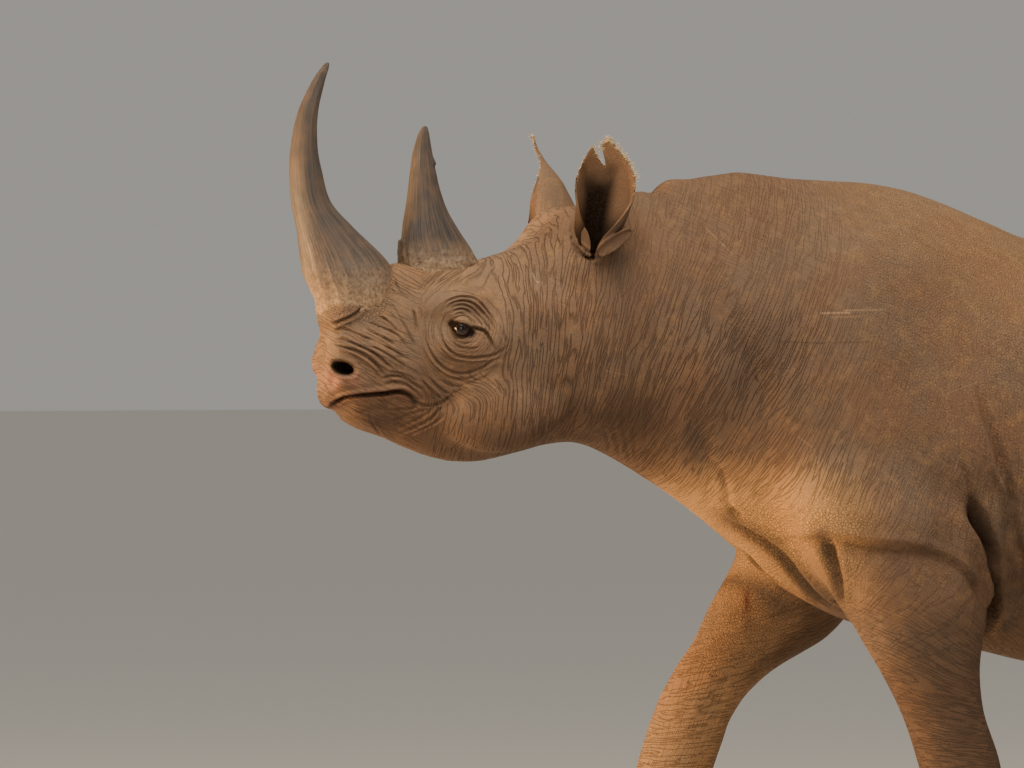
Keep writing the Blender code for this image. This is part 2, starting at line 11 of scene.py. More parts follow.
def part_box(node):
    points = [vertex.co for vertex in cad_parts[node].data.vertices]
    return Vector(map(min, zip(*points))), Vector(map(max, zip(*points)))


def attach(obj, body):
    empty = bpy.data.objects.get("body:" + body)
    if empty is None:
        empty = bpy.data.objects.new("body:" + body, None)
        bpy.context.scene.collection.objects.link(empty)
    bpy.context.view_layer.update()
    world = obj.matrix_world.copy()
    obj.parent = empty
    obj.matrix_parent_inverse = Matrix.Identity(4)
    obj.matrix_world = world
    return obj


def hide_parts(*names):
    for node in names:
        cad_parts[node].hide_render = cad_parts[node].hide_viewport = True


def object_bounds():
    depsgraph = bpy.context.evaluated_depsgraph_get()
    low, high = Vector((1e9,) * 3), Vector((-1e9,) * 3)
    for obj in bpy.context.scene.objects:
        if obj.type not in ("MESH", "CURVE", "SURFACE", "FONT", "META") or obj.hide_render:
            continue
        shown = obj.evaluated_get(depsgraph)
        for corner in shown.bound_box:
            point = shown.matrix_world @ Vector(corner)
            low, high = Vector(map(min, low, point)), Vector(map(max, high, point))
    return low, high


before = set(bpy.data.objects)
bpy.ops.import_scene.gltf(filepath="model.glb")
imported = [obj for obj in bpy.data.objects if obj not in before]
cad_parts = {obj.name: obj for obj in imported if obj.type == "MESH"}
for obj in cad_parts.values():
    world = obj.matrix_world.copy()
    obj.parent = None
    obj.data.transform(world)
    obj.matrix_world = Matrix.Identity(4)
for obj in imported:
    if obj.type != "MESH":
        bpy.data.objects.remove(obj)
cad_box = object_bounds()

# ---------------------------------------------------------------- body under the hide
# The animal is one closed body of muscle and bone under a single hide. Its parts are joined here from
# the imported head, neck, trunk, tail and legs, and smoothed until no facet or seam is left.
FLESH = ("head", "neck", "trunk", "tail", "leg_front_left", "leg_front_right", "leg_hind_left",
         "leg_hind_right")
EYES = ("eye_left", "eye_right")
BODY_GRAIN = 0.006  # mesh size over the trunk, before it is refined on the head
OVERLAP = 0.0004  # the parts grow by this much, so that the cuts between them close
HIDE_INSET = 0.002  # the smoothed hide is drawn in by this much
NOSE_TO_WITHERS = 0.969  # level distance from the tip of the nose

# the point on the ground under the withers
withers = np.array((cad_box[0].x + NOSE_TO_WITHERS, 0.0, 0.0))


def settled(piece):
    """Replaces a piece's mesh with the one that its modifiers give."""
    bpy.context.view_layer.update()
    seen = piece.evaluated_get(bpy.context.evaluated_depsgraph_get())
    shaped = bpy.data.meshes.new_from_object(seen)
    piece.modifiers.clear()
    spent = piece.data
    piece.data = shaped
    bpy.data.meshes.remove(spent)
    shaped.name = piece.name


def new_piece(name, bm):
    """Turns a bmesh into a linked piece."""
    mesh = bpy.data.meshes.new(name)
    bm.to_mesh(mesh)
    bm.free()
    piece = bpy.data.objects.new(name, mesh)
    bpy.context.scene.collection.objects.link(piece)
    return piece


def copied(nodes, growth):
    """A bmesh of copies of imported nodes, merged and grown by a little."""
    bm = bmesh.new()
    for node in nodes:
        bm.from_mesh(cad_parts[node].data)
    bmesh.ops.remove_doubles(bm, verts=bm.verts, dist=0.00001)
    bm.normal_update()
    normals = [vertex.normal.copy() for vertex in bm.verts]
    for vertex, normal in zip(bm.verts, normals):
        vertex.co += normal * growth
    return bm


def remesh(piece, grain):
    """Fuses a piece into one closed surface of even squares."""
    fuse = piece.modifiers.new("fuse", "REMESH")
    fuse.mode = "VOXEL"
    fuse.voxel_size = grain
    settled(piece)


def places(piece):
    """The points of a piece, one row each."""
    found = np.empty(len(piece.data.vertices) * 3, np.float32)
    piece.data.vertices.foreach_get("co", found)
    return found.reshape(-1, 3).astype(float)


def put(piece, points):
    """Moves the points of a piece."""
    piece.data.vertices.foreach_set("co", points.astype(np.float32).ravel())
    piece.data.update()


def outward(piece):
    """The outward direction at each point of a piece."""
    found = np.empty(len(piece.data.vertices) * 3, np.float32)
    piece.data.vertex_normals.foreach_get("vector", found)
    return found.reshape(-1, 3).astype(float)


def ramp(start, end, value):
    """0 before the start and 1 after the end, with a soft change between them."""
    share = np.clip((value - start) / (end - start), 0.0, 1.0)
    return share * share * (3.0 - 2.0 * share)


def ease(piece, amount, rounds):
    """Draws each point towards the middle of its neighbours, by its own amount."""
    edges = np.empty(len(piece.data.edges) * 2, np.int32)
    piece.data.edges.foreach_get("vertices", edges)
    edges = edges.reshape(-1, 2)
    edges = edges[(amount[edges] > 0.0).any(1)]
    used, edges = np.unique(edges, return_inverse=True)
    first, second = edges.reshape(-1, 2).T
    points = places(piece)
    part, share = points[used], amount[used, None]
    count = np.bincount(np.r_[first, second], minlength=len(used))[:, None]
    for _ in range(rounds):
        total = [np.bincount(first, line[second], len(used)) + np.bincount(second, line[first], len(used))
                 for line in part.T]
        part = part + share * (np.array(total).T / count - part)
    points[used] = part
    put(piece, points)


skin = new_piece("skin", copied(FLESH + EYES, OVERLAP))
remesh(skin, BODY_GRAIN)

at = places(skin) - withers
behind_head = ramp(-0.46, -0.20, at[:, 0])
on_tail = ramp(1.78, 1.86, at[:, 0]) * ramp(1.16, 1.10, at[:, 2])
on_trunk = behind_head * (1.0 - on_tail) * ramp(0.45, 0.70, at[:, 2])
on_legs = behind_head * (1.0 - on_tail) * ramp(0.01, 0.06, at[:, 2])
on_shoulder_top = ramp(-0.10, 0.05, at[:, 0]) * ramp(0.75, 0.55, at[:, 0]) * ramp(1.00, 1.20, at[:, 2])
# in each round a point goes half of its way, and the broad top of the shoulder takes the most rounds
ease(skin, np.full(len(at), 0.5), 8)
ease(skin, 0.5 * on_legs, 20)
ease(skin, 0.5 * on_trunk, 60)
ease(skin, 0.5 * on_shoulder_top, 650)
poll = (places(skin) - withers) * (1.0, -1.0, 1.0)
poll[:, 1] = np.abs(poll[:, 1])
before_ears = ramp(0.105, 0.055, np.linalg.norm(poll - (-0.520, 0.075, 1.375), axis=1))
ease(skin, 0.5 * before_ears, 90)

# ---------------------------------------------------------------- ears
# Each ear is a leaf of gristle under thin hide, rolled into a deep cup about its own axis. The tips are
# torn, and the rear rim of the left one rolls outwards into a lobe at the bottom.
EAR_NODES = ("ear_left", "ear_right")
EAR_COLUMNS, EAR_ROWS = 72, 60
EAR_WALL = 0.0055
# For each ear: height above the root, radius of the roll, half of its arc in degrees
EAR_ROLLS = {
    "ear_left": ((-0.040, 0.030, 178), (0.000, 0.033, 178), (0.025, 0.038, 176), (0.045, 0.042, 166),
                 (0.060, 0.045, 152), (0.080, 0.048, 137), (0.120, 0.0525, 114), (0.160, 0.052, 101),
                 (0.190, 0.045, 92), (0.232, 0.030, 84)),
    "ear_right": ((-0.040, 0.042, 175), (0.000, 0.046, 172), (0.040, 0.050, 158), (0.070, 0.049, 146),
                  (0.100, 0.044, 132), (0.130, 0.038, 118), (0.150, 0.031, 108), (0.175, 0.020, 98),
                  (0.205, 0.012, 92), (0.235, 0.011, 88)),
}
# For each ear: side, root from the withers, where the cup faces, how it leans back (negative is towards
# the nose), how far it swings back above its root, how deep the roll is for its width, and whether it has
# the lobe
EARS = {
    "ear_left": (-1, (-0.412, -0.122, 1.350), (-0.34, -0.94), 0.010, 0.009, 0.66, True),
    "ear_right": (1, (-0.393, 0.122, 1.355), (-0.80, 0.60), -0.200, 0.0, 1.0, False),
}
# The upper edge of each ear as (place across from front rim to rear rim, height)
EAR_EDGES = {
    "ear_left": ((-1.00, 0.118), (-0.90, 0.150), (-0.70, 0.172), (-0.45, 0.192), (-0.24, 0.206),
                 (-0.15, 0.203), (-0.04, 0.182), (0.03, 0.163), (0.08, 0.168), (0.11, 0.198), (0.20, 0.212),
                 (0.40, 0.219), (0.55, 0.210), (0.66, 0.196), (0.76, 0.181), (0.84, 0.160), (0.92, 0.133),
                 (1.00, 0.095)),
    "ear_right": ((-1.00, 0.110), (-0.75, 0.150), (-0.50, 0.176), (-0.38, 0.202), (-0.26, 0.226),
                  (0.00, 0.234), (0.28, 0.228), (0.42, 0.204), (0.52, 0.182), (0.70, 0.160), (1.00, 0.120)),
}
TORN_ABOVE = 0.150  # height of the torn notch
TORN_SLANT = 7.0  # how fast the leaf slants forward above the notch
SWUNG_BY = 0.12  # height at which an ear has swung all the way back


def mottle(points, size, seed):
    """Smooth irregular values between -1 and 1, about one swing in each length of that size."""
    cell = points / size + seed * 17.31
    corner = np.floor(cell).astype(np.int64)
    inside = cell - corner
    inside = inside * inside * (3.0 - 2.0 * inside)
    total = np.zeros(len(points))
    for step in itertools.product((0, 1), repeat=3):
        x, y, z = (corner + step).T
        mix = (x * 73856093) ^ (y * 19349663) ^ (z * 83492791) ^ (seed * 2654435)
        mix = ((mix ^ (mix >> 13)) * 1274126177) & 0xFFFFFFFF
        value = (((mix ^ (mix >> 16)) >> 4) & 0xFFFF) / 32767.5 - 1.0
        total += value * np.where(step, inside, 1.0 - inside).prod(1)
    return total


def ear_frame(name):
    """An ear's root, its axis, the way its cup faces and the way to its rear rim."""
    side, root, faces, lean = EARS[name][:4]
    axis = np.array((lean, side * 0.300, 0.950))
    axis /= np.linalg.norm(axis)
    mouth = np.array((*faces, 0.0))
    mouth -= axis * (mouth @ axis)
    mouth /= np.linalg.norm(mouth)
    return np.array(root) + withers, axis, mouth, np.cross(axis, mouth) * -side


def on_ear(name, u, height):
    """A point in the middle of an ear's wall: u is -1 at the front rim and 1 at the rear rim."""
    root, axis, mouth, rear = ear_frame(name)
    swing, depth = EARS[name][4:6]
    levels, radii, arcs = np.array(EAR_ROLLS[name]).T
    radius = np.interp(height, levels, radii)
    slant = TORN_SLANT * np.maximum(0.0, height - TORN_ABOVE) * (swing > 0.0)
    angle = np.radians(np.interp(height, levels, arcs)) * (u - slant)
    rolled = 0.35 * ramp(0.72, 1.0, np.abs(u)) * ramp(0.04, 0.12, height)
    sideways = radius * (np.sin(angle) + rolled * 0.3 * np.sign(u)) + swing * ramp(0.0, SWUNG_BY, height)
    forward = -radius * depth * (np.cos(angle) + rolled * 0.4)
    return root + sideways[:, None] * rear + forward[:, None] * mouth + height[:, None] * axis


def in_cup(name, points):
    """How high points lie above an ear's root, and how far out from its middle: 1 is at the wall."""
    root, axis, mouth, rear = ear_frame(name)
    swing, depth = EARS[name][4:6]
    levels, radii, _ = np.array(EAR_ROLLS[name]).T
    height = (points - root) @ axis
    radius = np.interp(height, levels, radii)
    sideways = (points - root) @ rear - swing * ramp(0.0, SWUNG_BY, height)
    out = np.hypot(sideways / radius, (points - root) @ mouth / (radius * depth))
    return height, out


def on_lobe(name, along, over):
    """A point of the lobe that rolls out from an ear's rear rim: along its length and over its width."""
    root, axis, mouth, rear = ear_frame(name)
    half_width = 0.0145 * np.sqrt(np.clip(1.0 - np.abs(2.0 * along - 1.0) ** 3, 0.02, 1.0))
    half_width *= 1.15 - 0.25 * along
    sideways = 0.008 + 0.060 * along + 0.66 * half_width * over
    upward = 0.009 + 0.053 * along - 0.75 * half_width * over
    forward = 0.027 - 0.012 * along + 0.006 * over ** 2
    return root + sideways[:, None] * rear + forward[:, None] * mouth + upward[:, None] * axis


def raggedness(name, u):
    """How far an ear's torn edge rises and falls along it."""
    return 0.0025 * mottle(np.c_[u * 0.1, u * 0.0, u * 0.0], 0.011, 3 + EARS[name][0])


def leaf(name, columns, rows):
    """A flat leaf with its two directions running from -1 to 1."""
    bm = bmesh.new()
    bmesh.ops.create_grid(bm, x_segments=columns, y_segments=rows, size=1.0)
    return new_piece(name, bm)


def grow_on(leaf_piece, thickness):
    """Gives a leaf its thickness and makes it one with the hide."""
    bm = bmesh.new()
    bm.from_mesh(leaf_piece.data)
    bmesh.ops.recalc_face_normals(bm, faces=bm.faces)
    bm.to_mesh(leaf_piece.data)
    bm.free()
    wall = leaf_piece.modifiers.new("wall", "SOLIDIFY")
    wall.thickness = thickness
    wall.offset = 0.0
    settled(leaf_piece)
    ease(leaf_piece, np.full(len(leaf_piece.data.vertices), 0.5), 2)
    join = skin.modifiers.new("join", "BOOLEAN")
    join.operation = "UNION"
    join.solver = "MANIFOLD"
    join.object = leaf_piece
    settled(skin)
    bpy.data.objects.remove(leaf_piece, do_unlink=True)


# the hide inside the foot of each ear sinks, so that the cup is open to the bottom
points = places(skin)
for name in EAR_NODES:
    height, out = in_cup(name, points)
    sunk = ramp(0.93, 0.72, out) * np.maximum(0.0, height + 0.012) * (height < 0.12)
    points -= sunk[:, None] * ear_frame(name)[1]
put(skin, points)

for name, edge in EAR_EDGES.items():
    ear = leaf(name + "_leaf", EAR_COLUMNS, EAR_ROWS)
    u, share, _ = places(ear).T
    share = (share + 1.0) / 2.0
    across, tops = np.array(edge).T
    top = np.interp(u, across, tops)
    top += raggedness(name, u)
    low = EAR_ROLLS[name][0][0]
    put(ear, on_ear(name, u, low + (top - low) * share))
    grow_on(ear, EAR_WALL)
    if EARS[name][-1]:
        lobe = leaf(name + "_lobe", 26, 20)
        along, over, _ = places(lobe).T
        put(lobe, on_lobe(name, (along + 1.0) / 2.0, over))
        grow_on(lobe, EAR_WALL)

# ---------------------------------------------------------------- finer hide on the head
# The head carries the finest folds: lids, lips and nostrils. Its mesh is halved once, and halved
# again round the eyes and on the muzzle.
HEAD_ENDS = -0.33  # from the withers
MUZZLE_ENDS = -0.775
EYE_FIELD = 0.075  # the hide round the eye that is halved again
EAR_FIELD = 0.075  # the hide round the ear's root that is left as it is
EARS_BEGIN = 1.42  # height above which the hide is left as it is
eye_low, eye_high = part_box("eye_left")
left_eye = np.array((eye_low + eye_high) / 2.0)
eye_radius = (eye_high.z - eye_low.z) / 2.0
LEFT, RIGHT = -1, 1


def refine(piece, chosen):
    """Halves the faces whose points are all chosen."""
    bm = bmesh.new()
    bm.from_mesh(piece.data)
    picked = [edge for edge in bm.edges if chosen[edge.verts[0].index] and chosen[edge.verts[1].index]]
    bmesh.ops.subdivide_edges(bm, edges=picked, cuts=1, use_grid_fill=True)
    bm.to_mesh(piece.data)
    bm.free()


def folded_over(points):
    """The points with those of the right side laid on the left side."""
    return np.c_[points[:, 0], -np.abs(points[:, 1]), points[:, 2]]


points = places(skin)
clear_of_ears = points[:, 2] < EARS_BEGIN
for name in EAR_NODES:
    clear_of_ears &= np.linalg.norm(points - ear_frame(name)[0], axis=1) > EAR_FIELD
refine(skin, ((points - withers)[:, 0] < HEAD_ENDS) & clear_of_ears)
points = places(skin)
near_eye = np.linalg.norm(folded_over(points) - left_eye, axis=1) < EYE_FIELD
refine(skin, ((points - withers)[:, 0] < MUZZLE_ENDS) | near_eye)
at = places(skin) - withers
off_ears = ramp(EARS_BEGIN, 1.36, at[:, 2])
ease(skin, 0.5 * ramp(HEAD_ENDS, HEAD_ENDS - 0.05, at[:, 0]) * off_ears, 3)
points = places(skin)
soles = points[:, 2] < 0.004
share = 1.0 - 0.7 * ramp(1.38, EARS_BEGIN, at[:, 2])
points = points - outward(skin) * HIDE_INSET * share[:, None]
points[soles, 2] = 0.0
points[:, 2] = np.maximum(points[:, 2], 0.0)
put(skin, points)

# ---------------------------------------------------------------- folds in the hide
# The hide lies in creases where the animal bends: rings and bags round the eyes, sheaves of folds from
# the nostrils to the cheeks, and deep tucks where the legs leave the trunk. They are drawn on a sheet
# that stands beside the animal, turned 18 degrees towards its nose, and carried onto the hide.
SHEET_TURN = math.radians(18.0)
MM = 0.001
FOLD_DEPTH = 1.5  # how much deeper the face folds are pressed than their table says
THROAT_DEPTH = 0.5  # and those of the throat
FAR_TUCK_DEPTH = 0.22  # and the tucks of the right side, where the legs stand straighter


def sheet(side):
    """Directions along the sheet towards the tail, up it, and out from the animal."""
    along = np.array((math.cos(SHEET_TURN), side * math.sin(SHEET_TURN), 0.0))
    away = np.array((-math.sin(SHEET_TURN), side * math.cos(SHEET_TURN), 0.0))
    return along, np.array((0.0, 0.0, 1.0)), away


def smooth_step(t, a, b, c, d):
    """The way from b to c on a smooth curve through four points."""
    return 0.5 * (2 * b + (c - a) * t + (2 * a - 5 * b + 4 * c - d) * t ** 2
                  + (3 * b - a - 3 * c + d) * t ** 3)


def curve(drawn, spacing):
    """A smooth run of evenly spaced points through the drawn ones."""
    p = np.array(drawn, float)
    p = np.vstack((2 * p[0] - p[1], p, 2 * p[-1] - p[-2]))
    t = np.linspace(0.0, 1.0, 12, endpoint=False)[:, None]
    run = [smooth_step(t, *four) for four in zip(p[:-3], p[1:-2], p[2:-1], p[3:])]
    run = np.vstack(run + [p[-2:-1]])
    length = np.r_[0.0, np.cumsum(np.linalg.norm(np.diff(run, axis=0), axis=1))]
    even = np.linspace(0.0, length[-1], max(4, int(length[-1] / spacing)))
    return np.c_[np.interp(even, length, run[:, 0]), np.interp(even, length, run[:, 1])]


def on_hide(drawn, origin, side):
    """Where lines straight in from the sheet meet the hide, and which way it faces there."""
    along, up, away = sheet(side)
    spots, facing = [], []
    for across, height in drawn:
        start = origin + along * across + up * height + away * 2.0
        spot, normal, _, _ = hide_shape.ray_cast(Vector(start), Vector(-away))
        if spot is not None:
            spots.append(spot)
            facing.append(normal)
    return np.array(spots), np.array(facing)


def mound(value, middle, width):
    """1 in the middle, fading out smoothly on both sides."""
    return np.exp(-((value - middle) / width) ** 2)


def press(points, normals, lift, line, facing, side, width, depth, above, below):
    """Adds a fold along a line: a crease, and a swelling on either side of it."""
    reach = 4.5 * width
    near = np.flatnonzero(((points > line.min(0) - reach) & (points < line.max(0) + reach)).all(1))
    gap = points[near][:, None, :] - line[None]
    distance = np.linalg.norm(gap, axis=2)
    nearest = distance.argmin(1)
    pick = np.arange(len(near))
    distance = distance[pick, nearest]
    course = np.gradient(line, axis=0)
    turned = np.cross(course[nearest], gap[pick, nearest])
    is_above = ramp(-0.4, 0.4, -side * (turned * facing[nearest]).sum(1)
                    / (np.linalg.norm(course[nearest], axis=1) * distance + 1e-9))
    share = nearest / (len(line) - 1)
    ends = ramp(0.0, 0.22, share) * ramp(1.0, 0.78, share)
    same_face = ramp(0.0, 0.3, (normals[near] * facing[nearest]).sum(1))
    swelling = below + (above - below) * is_above
    shape = swelling * mound(distance, 2.1 * width, 1.15 * width)
    shape = shape - mound(distance, 0.0, width)
    uneven = 1.0 + 0.25 * mottle(line[nearest], 0.02, 5)
    lift[near] += depth * shape * ends * same_face * uneven


# Face folds in mm from the eye: (half width, depth, swelling above, swelling below, points on the sheet)
FACE_FOLDS = (
    # rings over the eye
    (2.0, 1.8, 0.5, 0.5, ((-37, 24), (-29, 47), (-10, 57), (8, 59), (29, 53), (48, 32), (66, 6), (77, -11))),
    (2.0, 1.8, 0.5, 0.5, ((-34, 33), (-21, 45), (0, 51), (19, 47), (37, 32), (53, 14), (69, -10))),
    (1.8, 1.5, 0.5, 0.5, ((-24, 37), (-2, 44), (16, 39), (32, 24), (45, 8), (55, -7), (58, -20))),
    (1.7, 1.2, 0.5, 0.5, ((-22, 26), (-12, 33), (3, 36), (19, 26), (34, 11), (44, -1))),
    (1.6, 1.0, 0.5, 0.5, ((-17, 22), (-4, 28), (6, 25), (17, 17), (28, 7))),
    # crease back from the corner of the eye
    (2.6, 3.4, 0.7, 0.3, ((14, 2), (29, -1), (43, -6), (52, -18), (57, -30), (58, -42))),
    # bags under the eye
    (2.4, 2.6, 0.3, 0.7, ((-50, 15), (-42, -2), (-36, -21), (-26, -38), (-10, -50), (14, -55), (37, -54),
                          (58, -51), (74, -43), (84, -31))),
    (1.7, 1.2, 0.4, 0.4, ((-24, -14), (-14, -27), (0, -36), (20, -38), (38, -34))),
    (1.7, 1.1, 0.4, 0.4, ((-20, -4), (-12, -17), (0, -27), (18, -27), (34, -23))),
    (2.5, 2.7, 0.3, 0.7, ((-64, 33), (-70, 6), (-68, -18), (-61, -39), (-50, -58), (-34, -74), (-15, -83),
                          (6, -85), (27, -80), (45, -71), (61, -60), (77, -44))),
    (2.1, 1.8, 0.5, 0.5, ((-48, -74), (-38, -82), (-21, -92), (0, -95), (21, -90), (43, -79), (62, -66))),
    (2.0, 1.6, 0.5, 0.5, ((-46, -94), (-30, -103), (-13, -109), (8, -106), (32, -95), (50, -82))),
    (2.0, 1.6, 0.5, 0.5, ((-34, -121), (-10, -118), (16, -108), (40, -95), (60, -80))),
    (2.4, 2.4, 0.4, 0.6, ((70, 12), (78, -10), (85, -28), (84, -46))),
    (1.8, 1.2, 0.5, 0.5, ((-61, 51), (-52, 62), (-40, 70), (-18, 76))),
    (1.8, 1.2, 0.5, 0.5, ((-74, 40), (-72, 56), (-62, 70), (-48, 82))),
    (1.8, 1.0, 0.5, 0.5, ((-24, 66), (0, 72), (26, 68), (48, 54))),
    # slits in front of the eye
    (2.6, 4.2, 0.5, 0.5, ((-92, 38), (-88, 22), (-85, 6), (-83, -12))),
    (2.3, 2.6, 0.5, 0.5, ((-115, 20), (-103, -2), (-92, -23), (-84, -34))),
    (2.0, 1.8, 0.5, 0.5, ((-80, 44), (-75, 24), (-77, 4), (-76, -14))),
    (2.4, 2.4, 0.5, 0.5, ((-128, 92), (-122, 78), (-115, 64))),
    (1.9, 1.4, 0.5, 0.5, ((-128, 40), (-118, 24), (-112, 8))),
    # folds from under the front horn back towards the cheek
    (2.8, 3.0, 0.5, 0.5, ((-246, 8), (-236, 9), (-220, 15), (-206, 21), (-190, 32), (-176, 48))),
    (2.2, 1.9, 0.5, 0.5, ((-243, -6), (-234, -4), (-220, -1), (-198, -9), (-177, -18), (-158, -27))),
    (2.2, 1.9, 0.5, 0.5, ((-185, 3), (-161, -10), (-140, -21), (-119, -34))),
    (2.2, 1.8, 0.5, 0.5, ((-185, 15), (-153, 3), (-124, -10), (-108, -26), (-96, -44))),
    (2.2, 1.7, 0.5, 0.5, ((-160, 26), (-142, 16), (-128, 4), (-118, -8))),
    (2.4, 2.4, 0.5, 0.6, ((-246, -28), (-236, -21), (-220, -20), (-198, -30), (-177, -39), (-156, -52),
                          (-140, -66), (-124, -79))),
    (2.6, 2.8, 0.4, 0.7, ((-247, -36), (-238, -29), (-222, -34), (-198, -42), (-177, -53), (-161, -66),
                          (-151, -79), (-140, -92))),
    (2.0, 1.6, 0.5, 0.5, ((-176, -30), (-154, -40), (-134, -52), (-112, -66), (-96, -74))),
    (2.0, 1.6, 0.5, 0.5, ((-150, -30), (-130, -40), (-110, -52), (-92, -62))),
    (2.0, 1.4, 0.5, 0.5, ((-138, -80), (-118, -84), (-98, -90), (-80, -102))),
    # folds over the mouth and back from its corner
    (2.3, 2.2, 0.4, 0.6, ((-151, -95), (-129, -89), (-108, -92), (-90, -103), (-71, -118))),
    (2.1, 1.7, 0.5, 0.5, ((-145, -106), (-124, -101), (-103, -105), (-84, -121), (-74, -134))),
    (2.1, 1.8, 0.5, 0.5, ((-78, -94), (-63, -111), (-50, -124), (-34, -132))),
    (2.0, 1.6, 0.5, 0.5, ((-62, -90), (-47, -108), (-32, -119), (-12, -126))),
    (2.6, 2.4, 0.5, 0.5, ((-90, -137), (-66, -145), (-39, -140), (-23, -129), (-6, -118))),
    (2.3, 1.9, 0.5, 0.5, ((-137, -174), (-108, -164), (-82, -156), (-55, -150), (-36, -142))),
    (2.3, 2.0, 0.5, 0.5, ((-127, -190), (-98, -177), (-71, -164), (-47, -146))),
    (2.3, 1.9, 0.5, 0.5, ((-124, -201), (-90, -187), (-58, -171), (-42, -153), (-28, -140))),
    (2.2, 1.6, 0.5, 0.5, ((-104, -204), (-74, -190), (-48, -176), (-28, -160))),
    (2.2, 1.5, 0.5, 0.5, ((-150, -152), (-120, -152), (-96, -150), (-78, -146))),
    # chin
    (2.6, 1.3, 0.5, 0.6, ((-226, -164), (-204, -170), (-185, -169), (-168, -174))),
    (2.4, 1.2, 0.5, 0.5, ((-172, -150), (-170, -170), (-158, -190), (-150, -204))),
    (2.2, 1.1, 0.5, 0.5, ((-206, -150), (-188, -156), (-172, -152))),
    # round the foot of the ear
    (3.2, 3.4, 0.5, 0.5, ((212, 206), (207, 190), (208, 170), (214, 152), (226, 138), (242, 130),
                          (262, 132))),
    (2.6, 2.2, 0.5, 0.5, ((222, 190), (220, 170), (225, 154), (238, 143), (254, 140))),
)
THROAT_FOLDS = (
    (3.4, 2.6, 0.4, 0.4, ((262, -150), (268, -183), (279, -230), (289, -268))),
    (3.4, 2.6, 0.4, 0.4, ((282, -140), (285, -175), (296, -230), (306, -280))),
    (3.4, 2.6, 0.4, 0.4, ((300, -130), (303, -170), (312, -225), (322, -288))),
    (3.4, 2.6, 0.4, 0.4, ((318, -140), (321, -180), (329, -235), (338, -296))),
    (3.4, 2.2, 0.4, 0.4, ((340, -150), (346, -210), (352, -262))),
)
# The mouth and the folds of the body are given in the same way
MOUTH_LINE = ((-250, -150), (-243, -144), (-230, -135), (-217, -128), (-196, -125), (-172, -123),
              (-145, -121), (-119, -118), (-106, -120), (-95, -128), (-88, -138))
MOUTH = (3.6, 8.0, 0.55, 0.30, MOUTH_LINE)
# Body folds in mm from the ground under the withers
TUCKS = (
    # hood of the shoulder over the near leg
    (8.0, 9.0, 0.9, 0.05, ((-20, 800), (30, 811), (91, 815), (164, 804), (240, 796), (298, 781), (336, 759),
                           (366, 723), (385, 677), (388, 640))),
    (12.0, 5.0, 0.0, 0.0, ((30, 800), (91, 803), (164, 792), (240, 784), (298, 768), (340, 740))),
    # slit of the armpit, and the folds behind the shoulder
    (12.0, 52.0, 0.25, 0.25, ((352, 905), (361, 872), (372, 844), (381, 812), (391, 769), (398, 712),
                              (400, 660), (392, 610))),
    (7.0, 9.0, 0.35, 0.35, ((366, 1130), (371, 1094), (388, 1044), (404, 994), (418, 947), (430, 916),
                            (437, 876), (441, 826), (451, 794), (462, 750), (468, 700))),
    (5.0, 5.0, 0.40, 0.40, ((338, 965), (346, 934), (354, 900), (363, 868))),
    (5.0, 5.5, 0.40, 0.40, ((400, 950), (407, 919), (419, 876), (426, 832), (430, 790))),
)
# Chest over the reaching leg: the valley between its two ridges, and the hollow beside the leg
CHEST_FOLDS = (
    (11.0, 15.0, 0.35, 0.30, ((-100, 852), (-84, 838), (-54, 820), (-18, 799), (11, 774), (36, 741),
                              (65, 709), (115, 670))),
    (9.0, 12.0, 0.30, 0.30, ((-90, 796), (-60, 780), (-19, 742), (20, 716), (55, 698), (100, 668))),
    (13.0, 22.0, 0.20, 0.20, ((72, 822), (83, 806), (90, 781), (101, 745), (108, 709), (120, 670))),
    (7.0, 4.0, 0.35, 0.35, ((-162, 968), (-134, 965), (-112, 943), (-101, 907), (-97, 878), (-79, 857))),
    (8.0, 8.0, 0.30, 0.30, ((-96, 872), (-84, 862), (-70, 850))),
)


def lay_folds(folds, origin, side, points, normals, lift, deeper=1.0):
    """Adds a list of folds on one side to the lift of the hide."""
    for half_width, depth, above, below, drawn in folds:
        width = half_width * MM
        line, facing = on_hide(curve(np.array(drawn) * MM, 0.6 * width), origin, side)
        press(points, normals, lift, line, facing, side, width, deeper * depth * MM, above, below)


def on_sheet(points, side, origin):
    """Places on the sheet of points, across and up, and how far they stand out from its origin."""
    along, up, away = sheet(side)
    offset = points - origin
    return offset @ along, offset @ up, offset @ away


# Lids: the opening between them in mm from the eye, drawn round it
LID_OPENING = ((-19.5, 10.5), (-11.0, 8.5), (-2.0, 6.0), (8.0, 2.5), (16.0, -3.0), (20.0, -8.0),
               (13.0, -10.0), (5.0, -11.5), (-3.0, -11.0), (-10.0, -5.5), (-15.0, 2.5))
LID_THICKNESS = 0.0034
LID_GAP = 0.0012  # between the eyeball and the edge of a lid
LID_ROUND = 0.0022  # how far from its edge a lid reaches its full thickness
LID_FIELD = (0.013, 0.027)  # the hide follows the eyeball within the first and is free beyond the second
eye_spot = {LEFT: left_eye, RIGHT: left_eye * (1.0, -1.0, 1.0)}


def from_opening(across, up):
    """Distance outside the opening between the lids, negative within it."""
    ring = curve(LID_OPENING + LID_OPENING[:1], 0.5) * MM
    distance = np.hypot(across[:, None] - ring[:, 0], up[:, None] - ring[:, 1]).min(1)
    x0, y0 = ring.T
    x1, y1 = np.roll(ring, -1, axis=0).T
    over = (y0 > up[:, None]) != (y1 > up[:, None])
    crossing = x0 + (up[:, None] - y0) * (x1 - x0) / np.where(y1 == y0, 1.0, y1 - y0)
    inside = (over & (across[:, None] < crossing)).sum(1) % 2 == 1
    return np.where(inside, -distance, distance)


